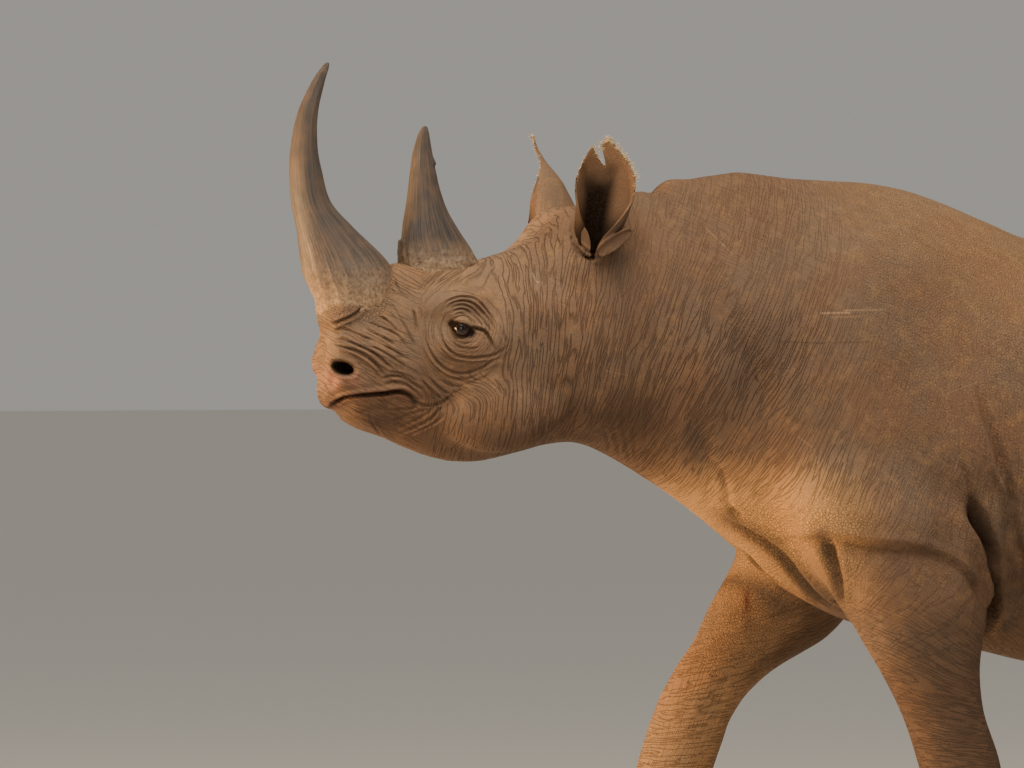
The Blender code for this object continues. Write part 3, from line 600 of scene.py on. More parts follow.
points = places(skin)
for side in (LEFT, RIGHT):
    across, up, out = on_sheet(points, side, eye_spot[side])
    near = np.flatnonzero((np.hypot(across, up) < LID_FIELD[1]) & (out > -0.02) & (out < 0.08))
    apart = from_opening(across[near], up[near])
    rays = points[near] - eye_spot[side]
    reach = np.linalg.norm(rays, axis=1)
    margin = LID_GAP + (LID_THICKNESS - LID_GAP) * ramp(0.0, LID_ROUND, apart)
    wanted = eye_radius + margin - 0.0075 * ramp(0.0, LID_ROUND, -apart)
    held = np.maximum(ramp(LID_FIELD[1], LID_FIELD[0], np.hypot(across[near], up[near])),
                      ramp(0.0015, 0.0, apart))
    points[near] = eye_spot[side] + rays * ((reach + held * (wanted - reach)) / reach)[:, None]
put(skin, points)

# Swellings in mm from the eye: place across and up, half lengths, tilt in degrees, height
FACE_SWELLINGS = (
    (-246, -140, 15, 12, -30, 5.0),  # hooked tip of the upper lip
    (-206, -40, 40, 13, -20, 3.0),  # wing of the nostril
    (-241, -98, 15, 11, 40, -5.0),  # hollow that runs down from the nostril
    (-212, -104, 34, 15, 5, 3.5),  # upper lip under the nostril
    (-180, -141, 48, 10, 4, 4.0),  # lower lip
    (14, -69, 46, 8, 6, 2.6),  # upper bag
    (124, 158, 30, 24, 20, 5.0),  # temple before the ear
    (-58, -30, 9, 30, 20, 1.6),  # ridge before the eye
    (2, 20, 26, 10, -18, 4.6),  # upper lid
    (4, -26, 24, 8, -8, 1.6),  # lower lid
    (150, -8, 34, 40, 10, -5.0),  # hollow behind the cheekbone
    (255, -100, 14, 70, 0, -6.0),  # groove behind the jaw
    (-120, -60, 50, 20, -25, 2.0),  # side of the nose
)
BODY_SWELLINGS = (
    (170, 850, 150, 34, -4, 8.0),  # hood over the near leg
    (350, 800, 26, 80, -14, 10.0),  # roll before the armpit
    (392, 655, 13, 22, 0, 12.0),  # point of the elbow
    (-70, 1150, 26, 130, 24, -15.0),  # valley between neck and shoulder
    (-150, 1000, 22, 60, 14, -12.0),  # foot of that valley
    (20, 1080, 90, 190, 20, 7.0),  # shoulder blade behind it
    (30, 1118, 6, 4, 0, 2.5),  # four warts on the shoulder
    (8, 1108, 5, 4, 30, 2.5),
    (90, 1119, 5, 3, 0, 2.5),
    (100, 994, 5, 3, 30, 2.5),
    (410, 850, 14, 100, -8, 6.0),  # roll behind the armpit
)
NOSTRIL = (-222, -74, 21.0, 11.5, -16, 27.0)  # place, half lengths, tilt and depth


def egg(across, up, place):
    """How far out points lie on a tilted egg on the sheet: 1 is on its rim."""
    x, z, half_length, half_height, tilt = np.array(place[:5]) * (MM, MM, MM, MM, 1.0)
    cosine, sine = math.cos(math.radians(tilt)), math.sin(math.radians(tilt))
    return np.hypot(((across - x) * cosine + (up - z) * sine) / half_length,
                    ((up - z) * cosine - (across - x) * sine) / half_height)


points, normals = places(skin), outward(skin)
lift = np.zeros(len(points))
for side in (LEFT, RIGHT):
    away = sheet(side)[2]
    facing = ramp(0.05, 0.45, normals @ away)
    across, up, _ = on_sheet(points, side, eye_spot[side])
    for place in FACE_SWELLINGS:
        lift += place[5] * MM * facing * mound(egg(across, up, place), 0.0, 1.0)
    rim = egg(across, up, NOSTRIL)
    lift += 3.2 * MM * facing * mound(rim, 1.50, 0.30)
    # the nostril runs in towards the middle and back
    depth = NOSTRIL[5] * MM * facing * ramp(1.08, 0.45, rim)
    points += depth[:, None] * (-away + (0.5, 0.0, 0.1))
    across, up, _ = on_sheet(points, side, withers)
    for place in BODY_SWELLINGS:
        lift += place[5] * MM * facing * mound(egg(across, up, place), 0.0, 1.0)
x, y, z = (points - withers).T
# roll across the nape, and the groove before it
on_nape = ramp(0.15, 0.03, np.abs(y)) * ramp(1.30, 1.42, z)
lift += on_nape * (0.007 * mound(x, -0.215, 0.026) - 0.010 * mound(x, -0.256, 0.016))
# slope up to the poll, and the blunt front of the muzzle
lift -= 0.014 * mound(x, -0.515, 0.052) * ramp(1.33, 1.39, z)
lift -= 0.006 * ramp(-0.890, -0.925, x) * ramp(1.24, 1.20, z)
# pad of rough skin that fills the saddle between the horns
lift += 0.028 * np.exp(-((x + 0.764) / 0.034) ** 2 - (y / 0.062) ** 2) * ramp(1.20, 1.27, z)
# spine, which stands up behind the withers
lift += 0.017 * mound(x, 0.20, 0.23) * ramp(0.18, 0.0, np.abs(y)) * ramp(1.33, 1.41, z)
# slight unevenness of the flesh all over
on_body = ramp(-0.40, -0.10, x)
lift += on_body * (0.0022 * mottle(points, 0.11, 1) + 0.0010 * mottle(points, 0.045, 2))
lift += (1.0 - on_body) * 0.0005 * mottle(points, 0.022, 3)
lift *= ramp(0.0, 0.03, points[:, 2])
put(skin, points + normals * lift[:, None])

hide_shape = BVHTree.FromObject(skin, bpy.context.evaluated_depsgraph_get())
points, normals = places(skin), outward(skin)
lift = np.zeros(len(points))
for side in (LEFT, RIGHT):
    lay_folds(FACE_FOLDS + (MOUTH,), eye_spot[side], side, points, normals, lift, FOLD_DEPTH)
    lay_folds(THROAT_FOLDS, eye_spot[side], side, points, normals, lift, THROAT_DEPTH)
lay_folds(TUCKS, withers, LEFT, points, normals, lift)
lay_folds(TUCKS, withers, RIGHT, points, normals, lift, FAR_TUCK_DEPTH)
lay_folds(CHEST_FOLDS, withers, LEFT, points, normals, lift)
points += normals * lift[:, None]
points[:, 2] = np.maximum(points[:, 2], 0.0)
put(skin, points)

HIDE_SHARE = 194000  # triangles that the hide keeps, packed closest where it is folded
HEAD_HOLD = 0.0009  # how strongly the head holds on to its points as the hide is thinned
corners = sum(len(face.vertices) - 2 for face in skin.data.polygons)
free = skin.vertex_groups.new(name="free")
behind_head = (points - withers)[:, 0] > HEAD_ENDS
for chosen, share in ((behind_head, 1.0), (~behind_head, 0.9)):
    free.add(np.flatnonzero(chosen).tolist(), share, "REPLACE")
thin = skin.modifiers.new("thin", "DECIMATE")
thin.ratio = HIDE_SHARE / corners
thin.vertex_group = "free"
thin.vertex_group_factor = HEAD_HOLD
settled(skin)
skin.vertex_groups.clear()

MENDS = 8  # rounds of mending at most
bm = bmesh.new()
bm.from_mesh(skin.data)
for _ in range(MENDS):
    # torn spots at the feet of the ears are cut out
    torn = [vertex for vertex in bm.verts
            if not vertex.link_faces or any(len(edge.link_faces) != 2 for edge in vertex.link_edges)]
    if not torn:
        break
    bmesh.ops.delete(bm, geom=torn, context="VERTS")
    # scraps that hang loose under the hide are dropped
    for vertex in bm.verts:
        vertex.tag = False
    scraps = []
    for start in bm.verts:
        if not start.tag:
            start.tag = True
            scrap = [start]
            for vertex in scrap:
                for other in [edge.other_vert(vertex) for edge in vertex.link_edges]:
                    if not other.tag:
                        other.tag = True
                        scrap.append(other)
            scraps.append(scrap)
    scraps.sort(key=len)
    bmesh.ops.delete(bm, geom=[vertex for scrap in scraps[:-1] for vertex in scrap], context="VERTS")
    # the holes are closed again
    rims = [edge for edge in bm.edges if edge.is_boundary]
    filled = bmesh.ops.holes_fill(bm, edges=rims, sides=0)["faces"]
    bmesh.ops.triangulate(bm, faces=filled)
bmesh.ops.recalc_face_normals(bm, faces=bm.faces)
bm.to_mesh(skin.data)
bm.free()

# ---------------------------------------------------------------- hide surface
# Thick bare hide, sun-dried and rubbed with ochre dust, with shade and warm light partly painted into its
# colour. Fine wrinkles run up and down the cheeks, round the neck and across the legs, cross each other on
# the shoulder, and break up into pebbles on the chest.


def tag(piece, name, values):
    """Stores a number or three at every point of a piece, for its material."""
    kind = "FLOAT" if values.ndim == 1 else "FLOAT_VECTOR"
    layer = piece.data.attributes.new(name, kind, "POINT")
    layer.data.foreach_set("value" if kind == "FLOAT" else "vector", values.astype(np.float32).ravel())


def spot(points, centre, radius):
    """1 in the middle of a round patch, fading out to 0 at about twice its radius."""
    return mound(np.linalg.norm(points - centre, axis=1), 0.0, radius)


def near_line(drawn, origin, width, points=None):
    """1 along a line drawn on the left sheet, and its mirror image unless points are given."""
    line = curve(np.array(drawn) * MM, 0.5 * width)
    across, height, _ = on_sheet(left_half if points is None else points, LEFT, origin)
    apart = np.hypot(across[:, None] - line[:, 0], height[:, None] - line[:, 1]).min(1)
    return mound(apart, 0.0, width)


points, normals = places(skin), outward(skin)
at = points - withers
x, y, z = at.T
left_half = folded_over(points)
across, up, _ = on_sheet(left_half, LEFT, left_eye)
on_face = np.c_[across, up, 0.0 * up]
from_eye = np.hypot(across, up)
on_head = ramp(-0.30, -0.42, x)
on_muzzle = ramp(-0.058, -0.085, across) * on_head
ringed = ramp(0.105, 0.075, from_eye) * on_head
on_leg = ramp(0.78, 0.62, z) * ramp(-0.40, -0.30, x)
on_flank = ramp(-0.02, 0.18, x) * (1.0 - on_leg)

# Upright wrinkles: they lean on the neck, go round the eye, and stand wider apart on the neck
lean = 0.06 + 0.40 * ramp(-0.60, -0.10, x) * ramp(0.40, 0.0, x)
upright = x - lean * (z - 1.20)
round_eye = from_eye + (left_eye - withers)[0]
upright -= 0.10 * np.clip(x + 0.50, 0.0, 0.45)
blend = ramp(0.150, 0.060, from_eye) * on_head
upright = upright + blend * (round_eye - upright)

# Level wrinkles: they run down from the nose to the cheek, and slope across the legs
muzzle_lines = 0.90 * up + 0.43 * across
slope = 0.55 * ramp(0.30, 0.60, z) * np.where(y < 0, 1.0, -0.5)
level = z + slope * x
level = level + on_head * (muzzle_lines - level)

# Pebbles: on the chest, inside the far leg, over the cheek, on the flank and at the foot of the horn
pebbled = np.maximum.reduce((
    ramp(0.92, 0.80, z) * ramp(0.55, 0.72, z) * ramp(0.12, -0.05, x) * (1.0 - on_head),
    ramp(0.95, 0.83, z) * ramp(0.66, 0.78, z) * ramp(0.13, 0.03, x) * ramp(-0.3, -0.2, x),
    spot(at, (-0.03, 0.16, 0.68), 0.13),
    0.9 * ramp(0.070, 0.030, np.abs(across + 0.190)) * ramp(-0.02, 0.03, up) * on_head,
    0.54 * on_flank,
    ramp(-0.120, -0.150, across) * ramp(0.02, 0.05, up) * ramp(-0.262, -0.240, across) * on_head))

# How strong the upright and level wrinkles and the pebbles are
upright_share = (1.0 - 0.90 * on_muzzle) * (1.0 - 0.55 * on_leg) * (1.0 - 0.30 * on_flank)
level_share = np.maximum.reduce((0.85 * on_muzzle, 0.90 * on_leg, 0.60 * on_flank, np.full(len(x), 0.15)))
wrinkles = np.c_[
    upright_share * (1.0 - 0.75 * pebbled) * (1.0 - 0.45 * ringed),
    level_share * (1.0 - 0.7 * pebbled) * (1.0 - 0.9 * ringed),
    np.maximum(pebbled, 0.12)]
on_blade = ramp(-0.02, 0.08, x + 0.155 - 0.51 * (z - 0.94)) * ramp(0.93, 1.02, z)
wrinkles[:, 0] *= 1.0 - 0.45 * on_blade
wrinkles[:, 1] *= 1.0 - 0.25 * on_blade
wrinkles *= (0.88 + 0.18 * mottle(points, 0.12, 14))[:, None]
wrinkles[:, 0] *= 1.0 - 0.55 * ramp(1.16, 1.34, z) * ramp(-0.46, -0.30, x)
wrinkles[:, 1] = np.maximum(wrinkles[:, 1], 0.30 * ramp(1.20, 1.36, z) * ramp(-0.42, -0.20, x))

# The cups of the ears: painted shade at the bottom, and painted light on their inner walls
cup = np.zeros(len(points))
lit_cup_wall = np.zeros(len(points))
on_ears = np.zeros(len(points))
for name in EAR_NODES:
    root, axis, mouth, rear = ear_frame(name)
    height, out = in_cup(name, points)
    on_ears = np.maximum(on_ears, ramp(1.75, 1.45, out) * ramp(0.005, 0.030, height))
    radial = points - root - height[:, None] * axis
    radial /= np.linalg.norm(radial, axis=1)[:, None] + 1e-9
    inner = ramp(0.2, -0.2, (radial * normals).sum(1)) * ramp(1.35, 1.15, out) * ramp(-0.03, 0.0, height)
    inner = np.maximum(inner, ramp(0.95, 0.75, out) * ramp(-0.010, 0.012, height) * (height < 0.05))
    rise = np.maximum(ramp(0.10, 0.20, height + 0.012 * mottle(points, 0.02, 11)),
                      ramp(0.45, 1.0, np.abs(radial @ rear + 0.15)) * ramp(0.01, 0.10, height))
    cup = np.maximum(cup, inner * (1.0 - rise))
    lit_cup_wall = np.maximum(lit_cup_wall, inner * rise)
wrinkles *= (1.0 - 0.85 * on_ears)[:, None]

# Near black: the edges of the lids, dark in their own right and deepened with painted shade, and painted
# shade in the nostrils, along the line of the mouth and at the bottom of the ear cups
eye_gap = np.full(len(points), 1.0)
close = from_eye < 0.06
eye_gap[close] = from_opening(across[close], up[close])
dark_and_shade = np.maximum.reduce((
    ramp(0.0095, 0.0035, eye_gap),
    ramp(1.35, 0.85, egg(across, up, NOSTRIL)) * (x < -0.80),
    0.9 * (near_line(MOUTH_LINE, left_eye, 0.006) * (x < -0.70)),
    cup))

# Sore pink: under the nostrils and along the lips
pink = np.maximum.reduce((
    0.55 * spot(on_face, (-0.240, -0.096, 0.0), 0.020),
    0.5 * spot(on_face, (-0.200, -0.094, 0.0), 0.014),
    0.30 * near_line(MOUTH_LINE, left_eye, 0.010))) * (x < -0.76)

# Ochre dust on the upward faces of the back and the top of the shoulder. On the lower legs, most of all the
# far leg, and on the front of the chest the same ochre is painted warm sunlight
dust_and_painted_sunlight = np.maximum(
    (0.10 + 0.14 * ramp(0.0, 0.3, x)) * ramp(0.1, 0.9, normals[:, 2]) * ramp(1.0, 1.3, z)
    + ramp(0.85, 0.60, z) * ramp(0.6, 0.2, x) * np.where(y > 0.0, 0.30, 0.04),
    ramp(1.00, 0.84, z) * ramp(0.62, 0.74, z) * ramp(0.12, -0.06, x) * (x > -0.35))

# Grey painted shade in hollows: the valley before the shoulder, behind the ear and the eye, and the folds of
# the chest
grey_shade = np.maximum.reduce((
    0.62 * near_line(((-20, 1190), (-60, 1130), (-105, 1075), (-140, 1030), (-166, 976)), withers, 0.055),
    0.5 * near_line(((285, 180), (300, 140), (296, 95)), left_eye, 0.030) * (x < -0.2),
    0.55 * spot(on_face, (0.150, -0.012, 0.0), 0.050),
    0.75 * near_line(((-100, 852), (-18, 799), (36, 741), (115, 670)), withers, 0.020),
    0.75 * near_line(((72, 822), (90, 781), (108, 709)), withers, 0.022))) * (y < 0.30)

# Painted shade: darker hide behind the jaw, at the corner of the mouth, along the jaw, under the hood, down
# the rear of the left legs, underneath, down the rear of the far leg and on the chin. The neck is darker too,
# and the feet darken towards the ground
on_neck = ramp(-0.48, -0.36, x) * ramp(0.25, -0.05, x) * ramp(0.92, 1.0, z)
under = 0.78 * ramp(0.05, -0.60, normals[:, 2]) * ramp(0.60, 0.75, z)
far_rear = ramp(0.05, 0.55, 0.6 * normals[:, 0] - normals[:, 2]) * ramp(0.50, 0.58, z) * ramp(0.84, 0.74, z)
shade = np.maximum.reduce((
    0.45 * near_line(((262, -60), (252, -130), (262, -190)), left_eye, 0.040) * (x < -0.2),
    0.6 * near_line(((-60, -142), (-20, -128)), left_eye, 0.014),
    0.50 * near_line(((20, -212), (120, -212), (238, -192)), left_eye, 0.035),
    0.6 * ramp(0.10, 0.02, z),
    0.34 * ramp(0.90, 0.80, z) * ramp(0.55, 0.65, z) * ramp(0.00, 0.12, x) * ramp(0.60, 0.45, x) * (y < 0.0),
    (0.33 + 0.08 * ramp(1.15, 1.30, z)) * on_neck,
    0.66 * on_leg * (y < 0.0) * ramp(0.05, 0.15, x) * ramp(0.22, 0.40, z),
    under * (1.0 - ramp(-0.30, -0.20, x) * ramp(0.20, 0.05, x)),
    0.75 * far_rear * (y > 0.0) * (x < 0.6),
    0.85 * near_line(((-215, -168), (-170, -178), (-120, -172)), left_eye, 0.03) * (x < -0.70)))

# Raw strip on the inner side of the far leg
wound = near_line(((-54, 702), (-52, 672), (-50, 640), (-50, 620)), withers, 0.006, points)
wound *= (y > 0.0) * (y < 0.24) * (x < 0.1)

for name, values in (("upright", upright), ("level", level), ("wrinkles", wrinkles),
                     ("stains_and_shade", np.c_[dark_and_shade, pink, grey_shade]), ("tints", np.c_[dust_and_painted_sunlight, shade, lit_cup_wall]),
                     ("wound", wound)):
    tag(skin, name, values)


def linear(hex_colour):
    """A colour given as sRGB hex, as the linear values that a shader takes."""
    channels = [int(hex_colour[i:i + 2], 16) / 255.0 for i in (1, 3, 5)]
    return (*[c / 12.92 if c <= 0.04045 else ((c + 0.055) / 1.055) ** 2.4 for c in channels], 1.0)


def surface(name, roughness):
    """A new material and its shader."""
    made = bpy.data.materials.new(name)
    made.use_nodes = True
    shader = made.node_tree.nodes["Principled BSDF"]
    shader.inputs["Roughness"].default_value = roughness
    return made, shader


def add(made, kind, inputs=None, **settings):
    """Adds a node to a material, with its settings, and links or sets its inputs."""
    node = made.node_tree.nodes.new("ShaderNode" + kind)
    for name, value in settings.items():
        setattr(node, name, value)
    for place, value in (inputs or {}).items():
        if isinstance(value, bpy.types.NodeSocket):
            made.node_tree.links.new(value, node.inputs[place])
        else:
            node.inputs[place].default_value = value
    return node


# Thick bare hide dried by the sun: matt, brown-grey, split by fine creases darkened with painted shade, with
# dust on the ridges between them
rhino_hide, shader = surface("sun_dried_rhinoceros_hide", 0.78)
made = rhino_hide
place = add(made, "TexCoord").outputs["Object"]
wrinkle, stain_and_shade, tint = [
    add(made, "SeparateXYZ", {0: add(made, "Attribute", attribute_name=name).outputs["Vector"]}).outputs
    for name in ("wrinkles", "stains_and_shade", "tints")]
wound_at = add(made, "Attribute", attribute_name="wound").outputs["Fac"]
from_middle = add(made, "SeparateXYZ", {0: place}).outputs

# the creases wander by about 2 mm over every 50 mm
wander = add(made, "TexNoise", {"Vector": place, "Scale": 18.0, "Detail": 2.0})
sway = add(made, "Math", {0: wander.outputs["Fac"], 1: 0.5}, operation="SUBTRACT").outputs[0]
sway = add(made, "Math", {0: sway, 1: 0.010}, operation="MULTIPLY").outputs[0]

# long creases lie where stretched noise crosses its middle: 6 mm apart, and over ten times as long
ACROSS = 165.0
creases = []
for course, along, strength in (("upright", (None, 13.0, 13.0), 0), ("level", (16.0, 16.0, None), 1)):
    crossing = add(made, "Attribute", attribute_name=course).outputs["Fac"]
    crossing = add(made, "Math", {0: crossing, 1: sway}, operation="ADD").outputs[0]
    stretched = {}
    for axis, scale in enumerate(along):
        factors = {0: from_middle[axis], 1: scale} if scale else {0: crossing, 1: ACROSS}
        stretched[axis] = add(made, "Math", factors, operation="MULTIPLY").outputs[0]
    lanes = add(made, "CombineXYZ", stretched).outputs[0]
    strands = add(made, "TexNoise", {"Vector": lanes, "Scale": 1.0, "Detail": 0.7, "Roughness": 0.5})
    middle = add(made, "Math", {0: strands.outputs["Fac"], 1: 0.5}, operation="SUBTRACT").outputs[0]
    middle = add(made, "Math", {0: middle}, operation="ABSOLUTE").outputs[0]
    slit = add(made, "MapRange", {0: middle, 1: 0.0, 2: 0.065, 3: 1.0, 4: 0.0},
               interpolation_type="SMOOTHSTEP").outputs[0]
    creases.append(add(made, "Math", {0: slit, 1: wrinkle[strength]}, operation="MULTIPLY").outputs[0])
# pebbles 5 mm across
cells = add(made, "TexVoronoi", {"Vector": place, "Scale": 185.0, "Randomness": 0.95},
            feature="DISTANCE_TO_EDGE")
slit = add(made, "MapRange", {0: cells.outputs["Distance"], 1: 0.0, 2: 0.20, 3: 1.0, 4: 0.0},
           interpolation_type="SMOOTHERSTEP").outputs[0]
creases.append(add(made, "Math", {0: slit, 1: wrinkle[2]}, operation="MULTIPLY").outputs[0])
crease = add(made, "Math", {0: creases[0], 1: creases[1]}, operation="ADD").outputs[0]
crease = add(made, "Math", {0: crease, 1: creases[2]}, operation="ADD", use_clamp=True).outputs[0]
# grit of the dry outer skin, 3 mm, patches of red earth 140 mm across, and smears of dust 26 mm across
grit = add(made, "TexNoise", {"Vector": place, "Scale": 300.0, "Detail": 3.0, "Roughness": 0.65})
patches = add(made, "TexNoise", {"Vector": place, "Scale": 7.0, "Detail": 5.0, "Roughness": 0.62})
smears = add(made, "TexNoise", {"Vector": place, "Scale": 38.0, "Detail": 4.0, "Roughness": 0.6})

height = add(made, "Math", {0: crease, 1: -1.0}, operation="MULTIPLY").outputs[0]
for roughness, share in ((grit, 0.45), (smears, 0.9)):
    height = add(made, "Math", {0: roughness.outputs["Fac"], 1: share, 2: height},
                 operation="MULTIPLY_ADD").outputs[0]
relief = add(made, "Bump", {"Height": height, "Strength": 1.0, "Distance": 0.0022})

DRY = "#76614e"
RED_EARTH = "#7c5d46"
# ochre of dust, and of the painted warm light on the chest and the far leg
DUST_AND_PAINTED_SUNLIGHT = "#c6965c"
# grey of the painted shade in the valleys, hollows and folds
GREY_SHADE = "#4c4036"
# brown of the painted shade
PAINTED_SHADE_BROWN = "#3d2c20"
SORE_PINK = "#a8705c"
# painted light on the inner walls of the ear cups
CUP_WALL_LIGHT = "#87674c"
RAW = "#5c2a22"
# near black of the lid edges, and of the painted shade in the nostrils, mouth line and ear cups
NEAR_BLACK_AND_SHADE = "#100b08"
FLECK = "#4a3729"
# painted shade at the bottom of the fine creases
CREASE_SHADE = "#33241a"
in_patches = add(made, "MapRange", {0: patches.outputs["Fac"], 1: 0.38, 2: 0.62}).outputs[0]
in_smears = add(made, "MapRange", {0: smears.outputs["Fac"], 1: 0.5, 2: 0.72, 4: 0.22}).outputs[0]
flecks = add(made, "MapRange", {0: grit.outputs["Fac"], 1: 0.4, 2: 0.62, 3: 0.3, 4: 0.0}).outputs[0]
colour = linear(DRY)
for share, tone in (
        (in_patches, RED_EARTH), (in_smears, DUST_AND_PAINTED_SUNLIGHT), (tint[0], DUST_AND_PAINTED_SUNLIGHT), (stain_and_shade[2], GREY_SHADE),
        (tint[1], PAINTED_SHADE_BROWN), (stain_and_shade[1], SORE_PINK), (tint[2], CUP_WALL_LIGHT), (wound_at, RAW), (stain_and_shade[0], NEAR_BLACK_AND_SHADE),
        (flecks, FLECK)):
    colour = add(made, "Mix", {0: share, 6: colour, 7: linear(tone)}, data_type="RGBA").outputs[2]


def scratch(made, start, end, width):
    """1 along a straight scratch on the left side, fading out at its sides."""
    flat = add(made, "VectorMath", {0: place, 1: (1.0, 0.0, 1.0)}, operation="MULTIPLY").outputs[0]
    course = end - start
    offset = add(made, "VectorMath", {0: flat, 1: tuple(start)}, operation="SUBTRACT").outputs[0]
    share = add(made, "VectorMath", {0: offset, 1: tuple(course / (course @ course))},
                operation="DOT_PRODUCT").outputs["Value"]
    share = add(made, "Math", {0: share, 1: 0.0}, operation="ADD", use_clamp=True).outputs[0]
    nearest = add(made, "VectorMath", {0: tuple(course), "Scale": share}, operation="SCALE").outputs[0]
    gap = add(made, "VectorMath", {0: offset, 1: nearest}, operation="DISTANCE").outputs["Value"]
    on_left = add(made, "MapRange", {0: from_middle[1], 1: -0.01, 2: 0.0, 3: 1.0, 4: 0.0}).outputs[0]
    beside = add(made, "MapRange", {0: gap, 1: 0.35 * width, 2: width, 3: 1.0, 4: 0.0}).outputs[0]
    return add(made, "Math", {0: beside, 1: on_left}, operation="MULTIPLY").outputs[0]


# Healed scratches as (width in mm, colour, strength, ends in mm on the sheet from under the withers)
SCRATCHES = (
    (2.6, "#c09a74", 0.34, (75, 1240), (128, 1241)), (2.2, "#c09a74", 0.24, (118, 1245), (196, 1247)),
    (2.0, "#b8906a", 0.18, (92, 1232), (150, 1234)), (2.0, "#33251b", 0.36, (-4, 1187), (78, 1184)),
    (1.8, "#33251b", 0.30, (70, 1184), (164, 1186)), (2.2, "#b8906a", 0.16, (304, 1086), (368, 1110)),
    (2.2, "#b8906a", 0.18, (-142, 1402), (-92, 1352)), (2.0, "#b8906a", 0.14, (30, 1010), (62, 984)),
    (2.4, "#cdb294", 0.45, (-467, 1314), (-463, 1304)), (1.8, "#cdb294", 0.35, (-463, 1301), (-456, 1298)),
    (2.0, "#b8906a", 0.14, (-330, 1132), (-290, 1124)),
)
for width, tone, strength, start, end in SCRATCHES:
    ends, _ = on_hide(np.array((start, end)) * MM, withers, LEFT)
    ends *= (1.0, 0.0, 1.0)
    mark = scratch(made, ends[0], ends[1], width * MM)
    mark = add(made, "Math", {0: mark, 1: strength}, operation="MULTIPLY").outputs[0]
    colour = add(made, "Mix", {0: mark, 6: colour, 7: linear(tone)}, data_type="RGBA").outputs[2]
# painted shade: the colour darkens towards the bottom of each fine crease
sunk = add(made, "Math", {0: crease, 1: 1.5}, operation="POWER").outputs[0]
sunk = add(made, "MapRange", {0: sunk, 1: 0.0, 2: 1.0, 4: 0.55}).outputs[0]
colour = add(made, "Mix", {0: sunk, 6: colour, 7: linear(CREASE_SHADE)}, data_type="RGBA").outputs[2]
# dry hide is dull with a faint sheen, and where the near black painted shade lies it is smoother and has
# none, so that the shade stays dark
rough = add(made, "MapRange", {0: stain_and_shade[0], 1: 0.0, 2: 1.0, 3: 0.82, 4: 0.60}).outputs[0]
sheen = add(made, "MapRange", {0: stain_and_shade[0], 1: 0.0, 2: 1.0, 3: 0.35, 4: 0.05}).outputs[0]
for socket, value in (("Base Color", colour), ("Normal", relief.outputs[0]), ("Roughness", rough),
                      ("Specular IOR Level", sheen)):
    made.node_tree.links.new(value, shader.inputs[socket])


def finish(piece, body, slot_name, material, *nodes):
    """Gives a piece its material, its smooth faces and its body. Its slot name is not used."""
    piece.data.materials.clear()
    piece.data.materials.append(material)
    piece.data.polygons.foreach_set("material_index", np.zeros(len(piece.data.polygons), np.int32))
    piece.data.polygons.foreach_set("use_smooth", np.ones(len(piece.data.polygons), bool))
    piece.data.update()
    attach(piece, body)
    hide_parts(*nodes)


finish(skin, "root", "hide", rhino_hide, *FLESH, *EAR_NODES)

# ---------------------------------------------------------------- eyes
# Each eye is a dark wet ball with a brown iris and a clear cornea that stands a little proud. It turns
# in its socket under the lids.
CORNEA = 0.0011  # how far the cornea stands proud
# Wet eyeball: clear and glossy over a brown iris and a black pupil
wet_eye, shader = surface("wet_eyeball", 0.04)
made = wet_eye
angle = add(made, "Attribute", attribute_name="off_axis").outputs["Fac"]
fibres = add(made, "TexNoise", {"Vector": add(made, "TexCoord").outputs["Object"], "Scale": 900.0})
colour = add(made, "Mix", {0: fibres.outputs["Fac"], 6: linear("#140d09"), 7: linear("#2a1a10")},
             data_type="RGBA").outputs[2]
# the pupil ends 14 degrees off the axis and the iris 33
in_iris = add(made, "MapRange", {0: angle, 1: 14.0, 2: 17.0}).outputs[0]
colour = add(made, "Mix", {0: in_iris, 6: linear("#060403"), 7: colour}, data_type="RGBA").outputs[2]
off_iris = add(made, "MapRange", {0: angle, 1: 33.0, 2: 38.0}).outputs[0]
colour = add(made, "Mix", {0: off_iris, 6: colour, 7: linear("#1d140f")}, data_type="RGBA").outputs[2]
made.node_tree.links.new(colour, shader.inputs["Base Color"])
shader.inputs["IOR"].default_value = 1.38
for name, side in (("eye_left", LEFT), ("eye_right", RIGHT)):
    low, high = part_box(name)
    centre = (low + high) / 2.0
    gaze = Vector((-0.34, side * 0.94, -0.02)).normalized()
    turn = gaze.to_track_quat("Z", "Y").to_matrix().to_4x4()
    bm = bmesh.new()
    bmesh.ops.create_uvsphere(bm, u_segments=48, v_segments=32, radius=eye_radius,
                              matrix=Matrix.Translation(centre) @ turn)
    ball = new_piece(name + "_ball", bm)
    rays = places(ball) - np.array(centre)
    off_axis = np.degrees(np.arccos(np.clip(rays @ np.array(gaze) / eye_radius, -1.0, 1.0)))
    put(ball, np.array(centre) + rays * (1.0 + CORNEA / eye_radius * ramp(40.0, 15.0, off_axis))[:, None])
    tag(ball, "off_axis", off_axis)
    finish(ball, "root", "eye_surface", wet_eye, name)

# ---------------------------------------------------------------- horns
# Both horns are matted keratin fibres that grow up from the nose. They are shaggy and grey-brown at the
# foot, and polished to dark blue-grey by rubbing higher up, with paler worn edges.
HORN_SIDES, HORN_RINGS = 96, 150
SUNK_IN = 0.016  # how deep the foot of a horn stands in the hide
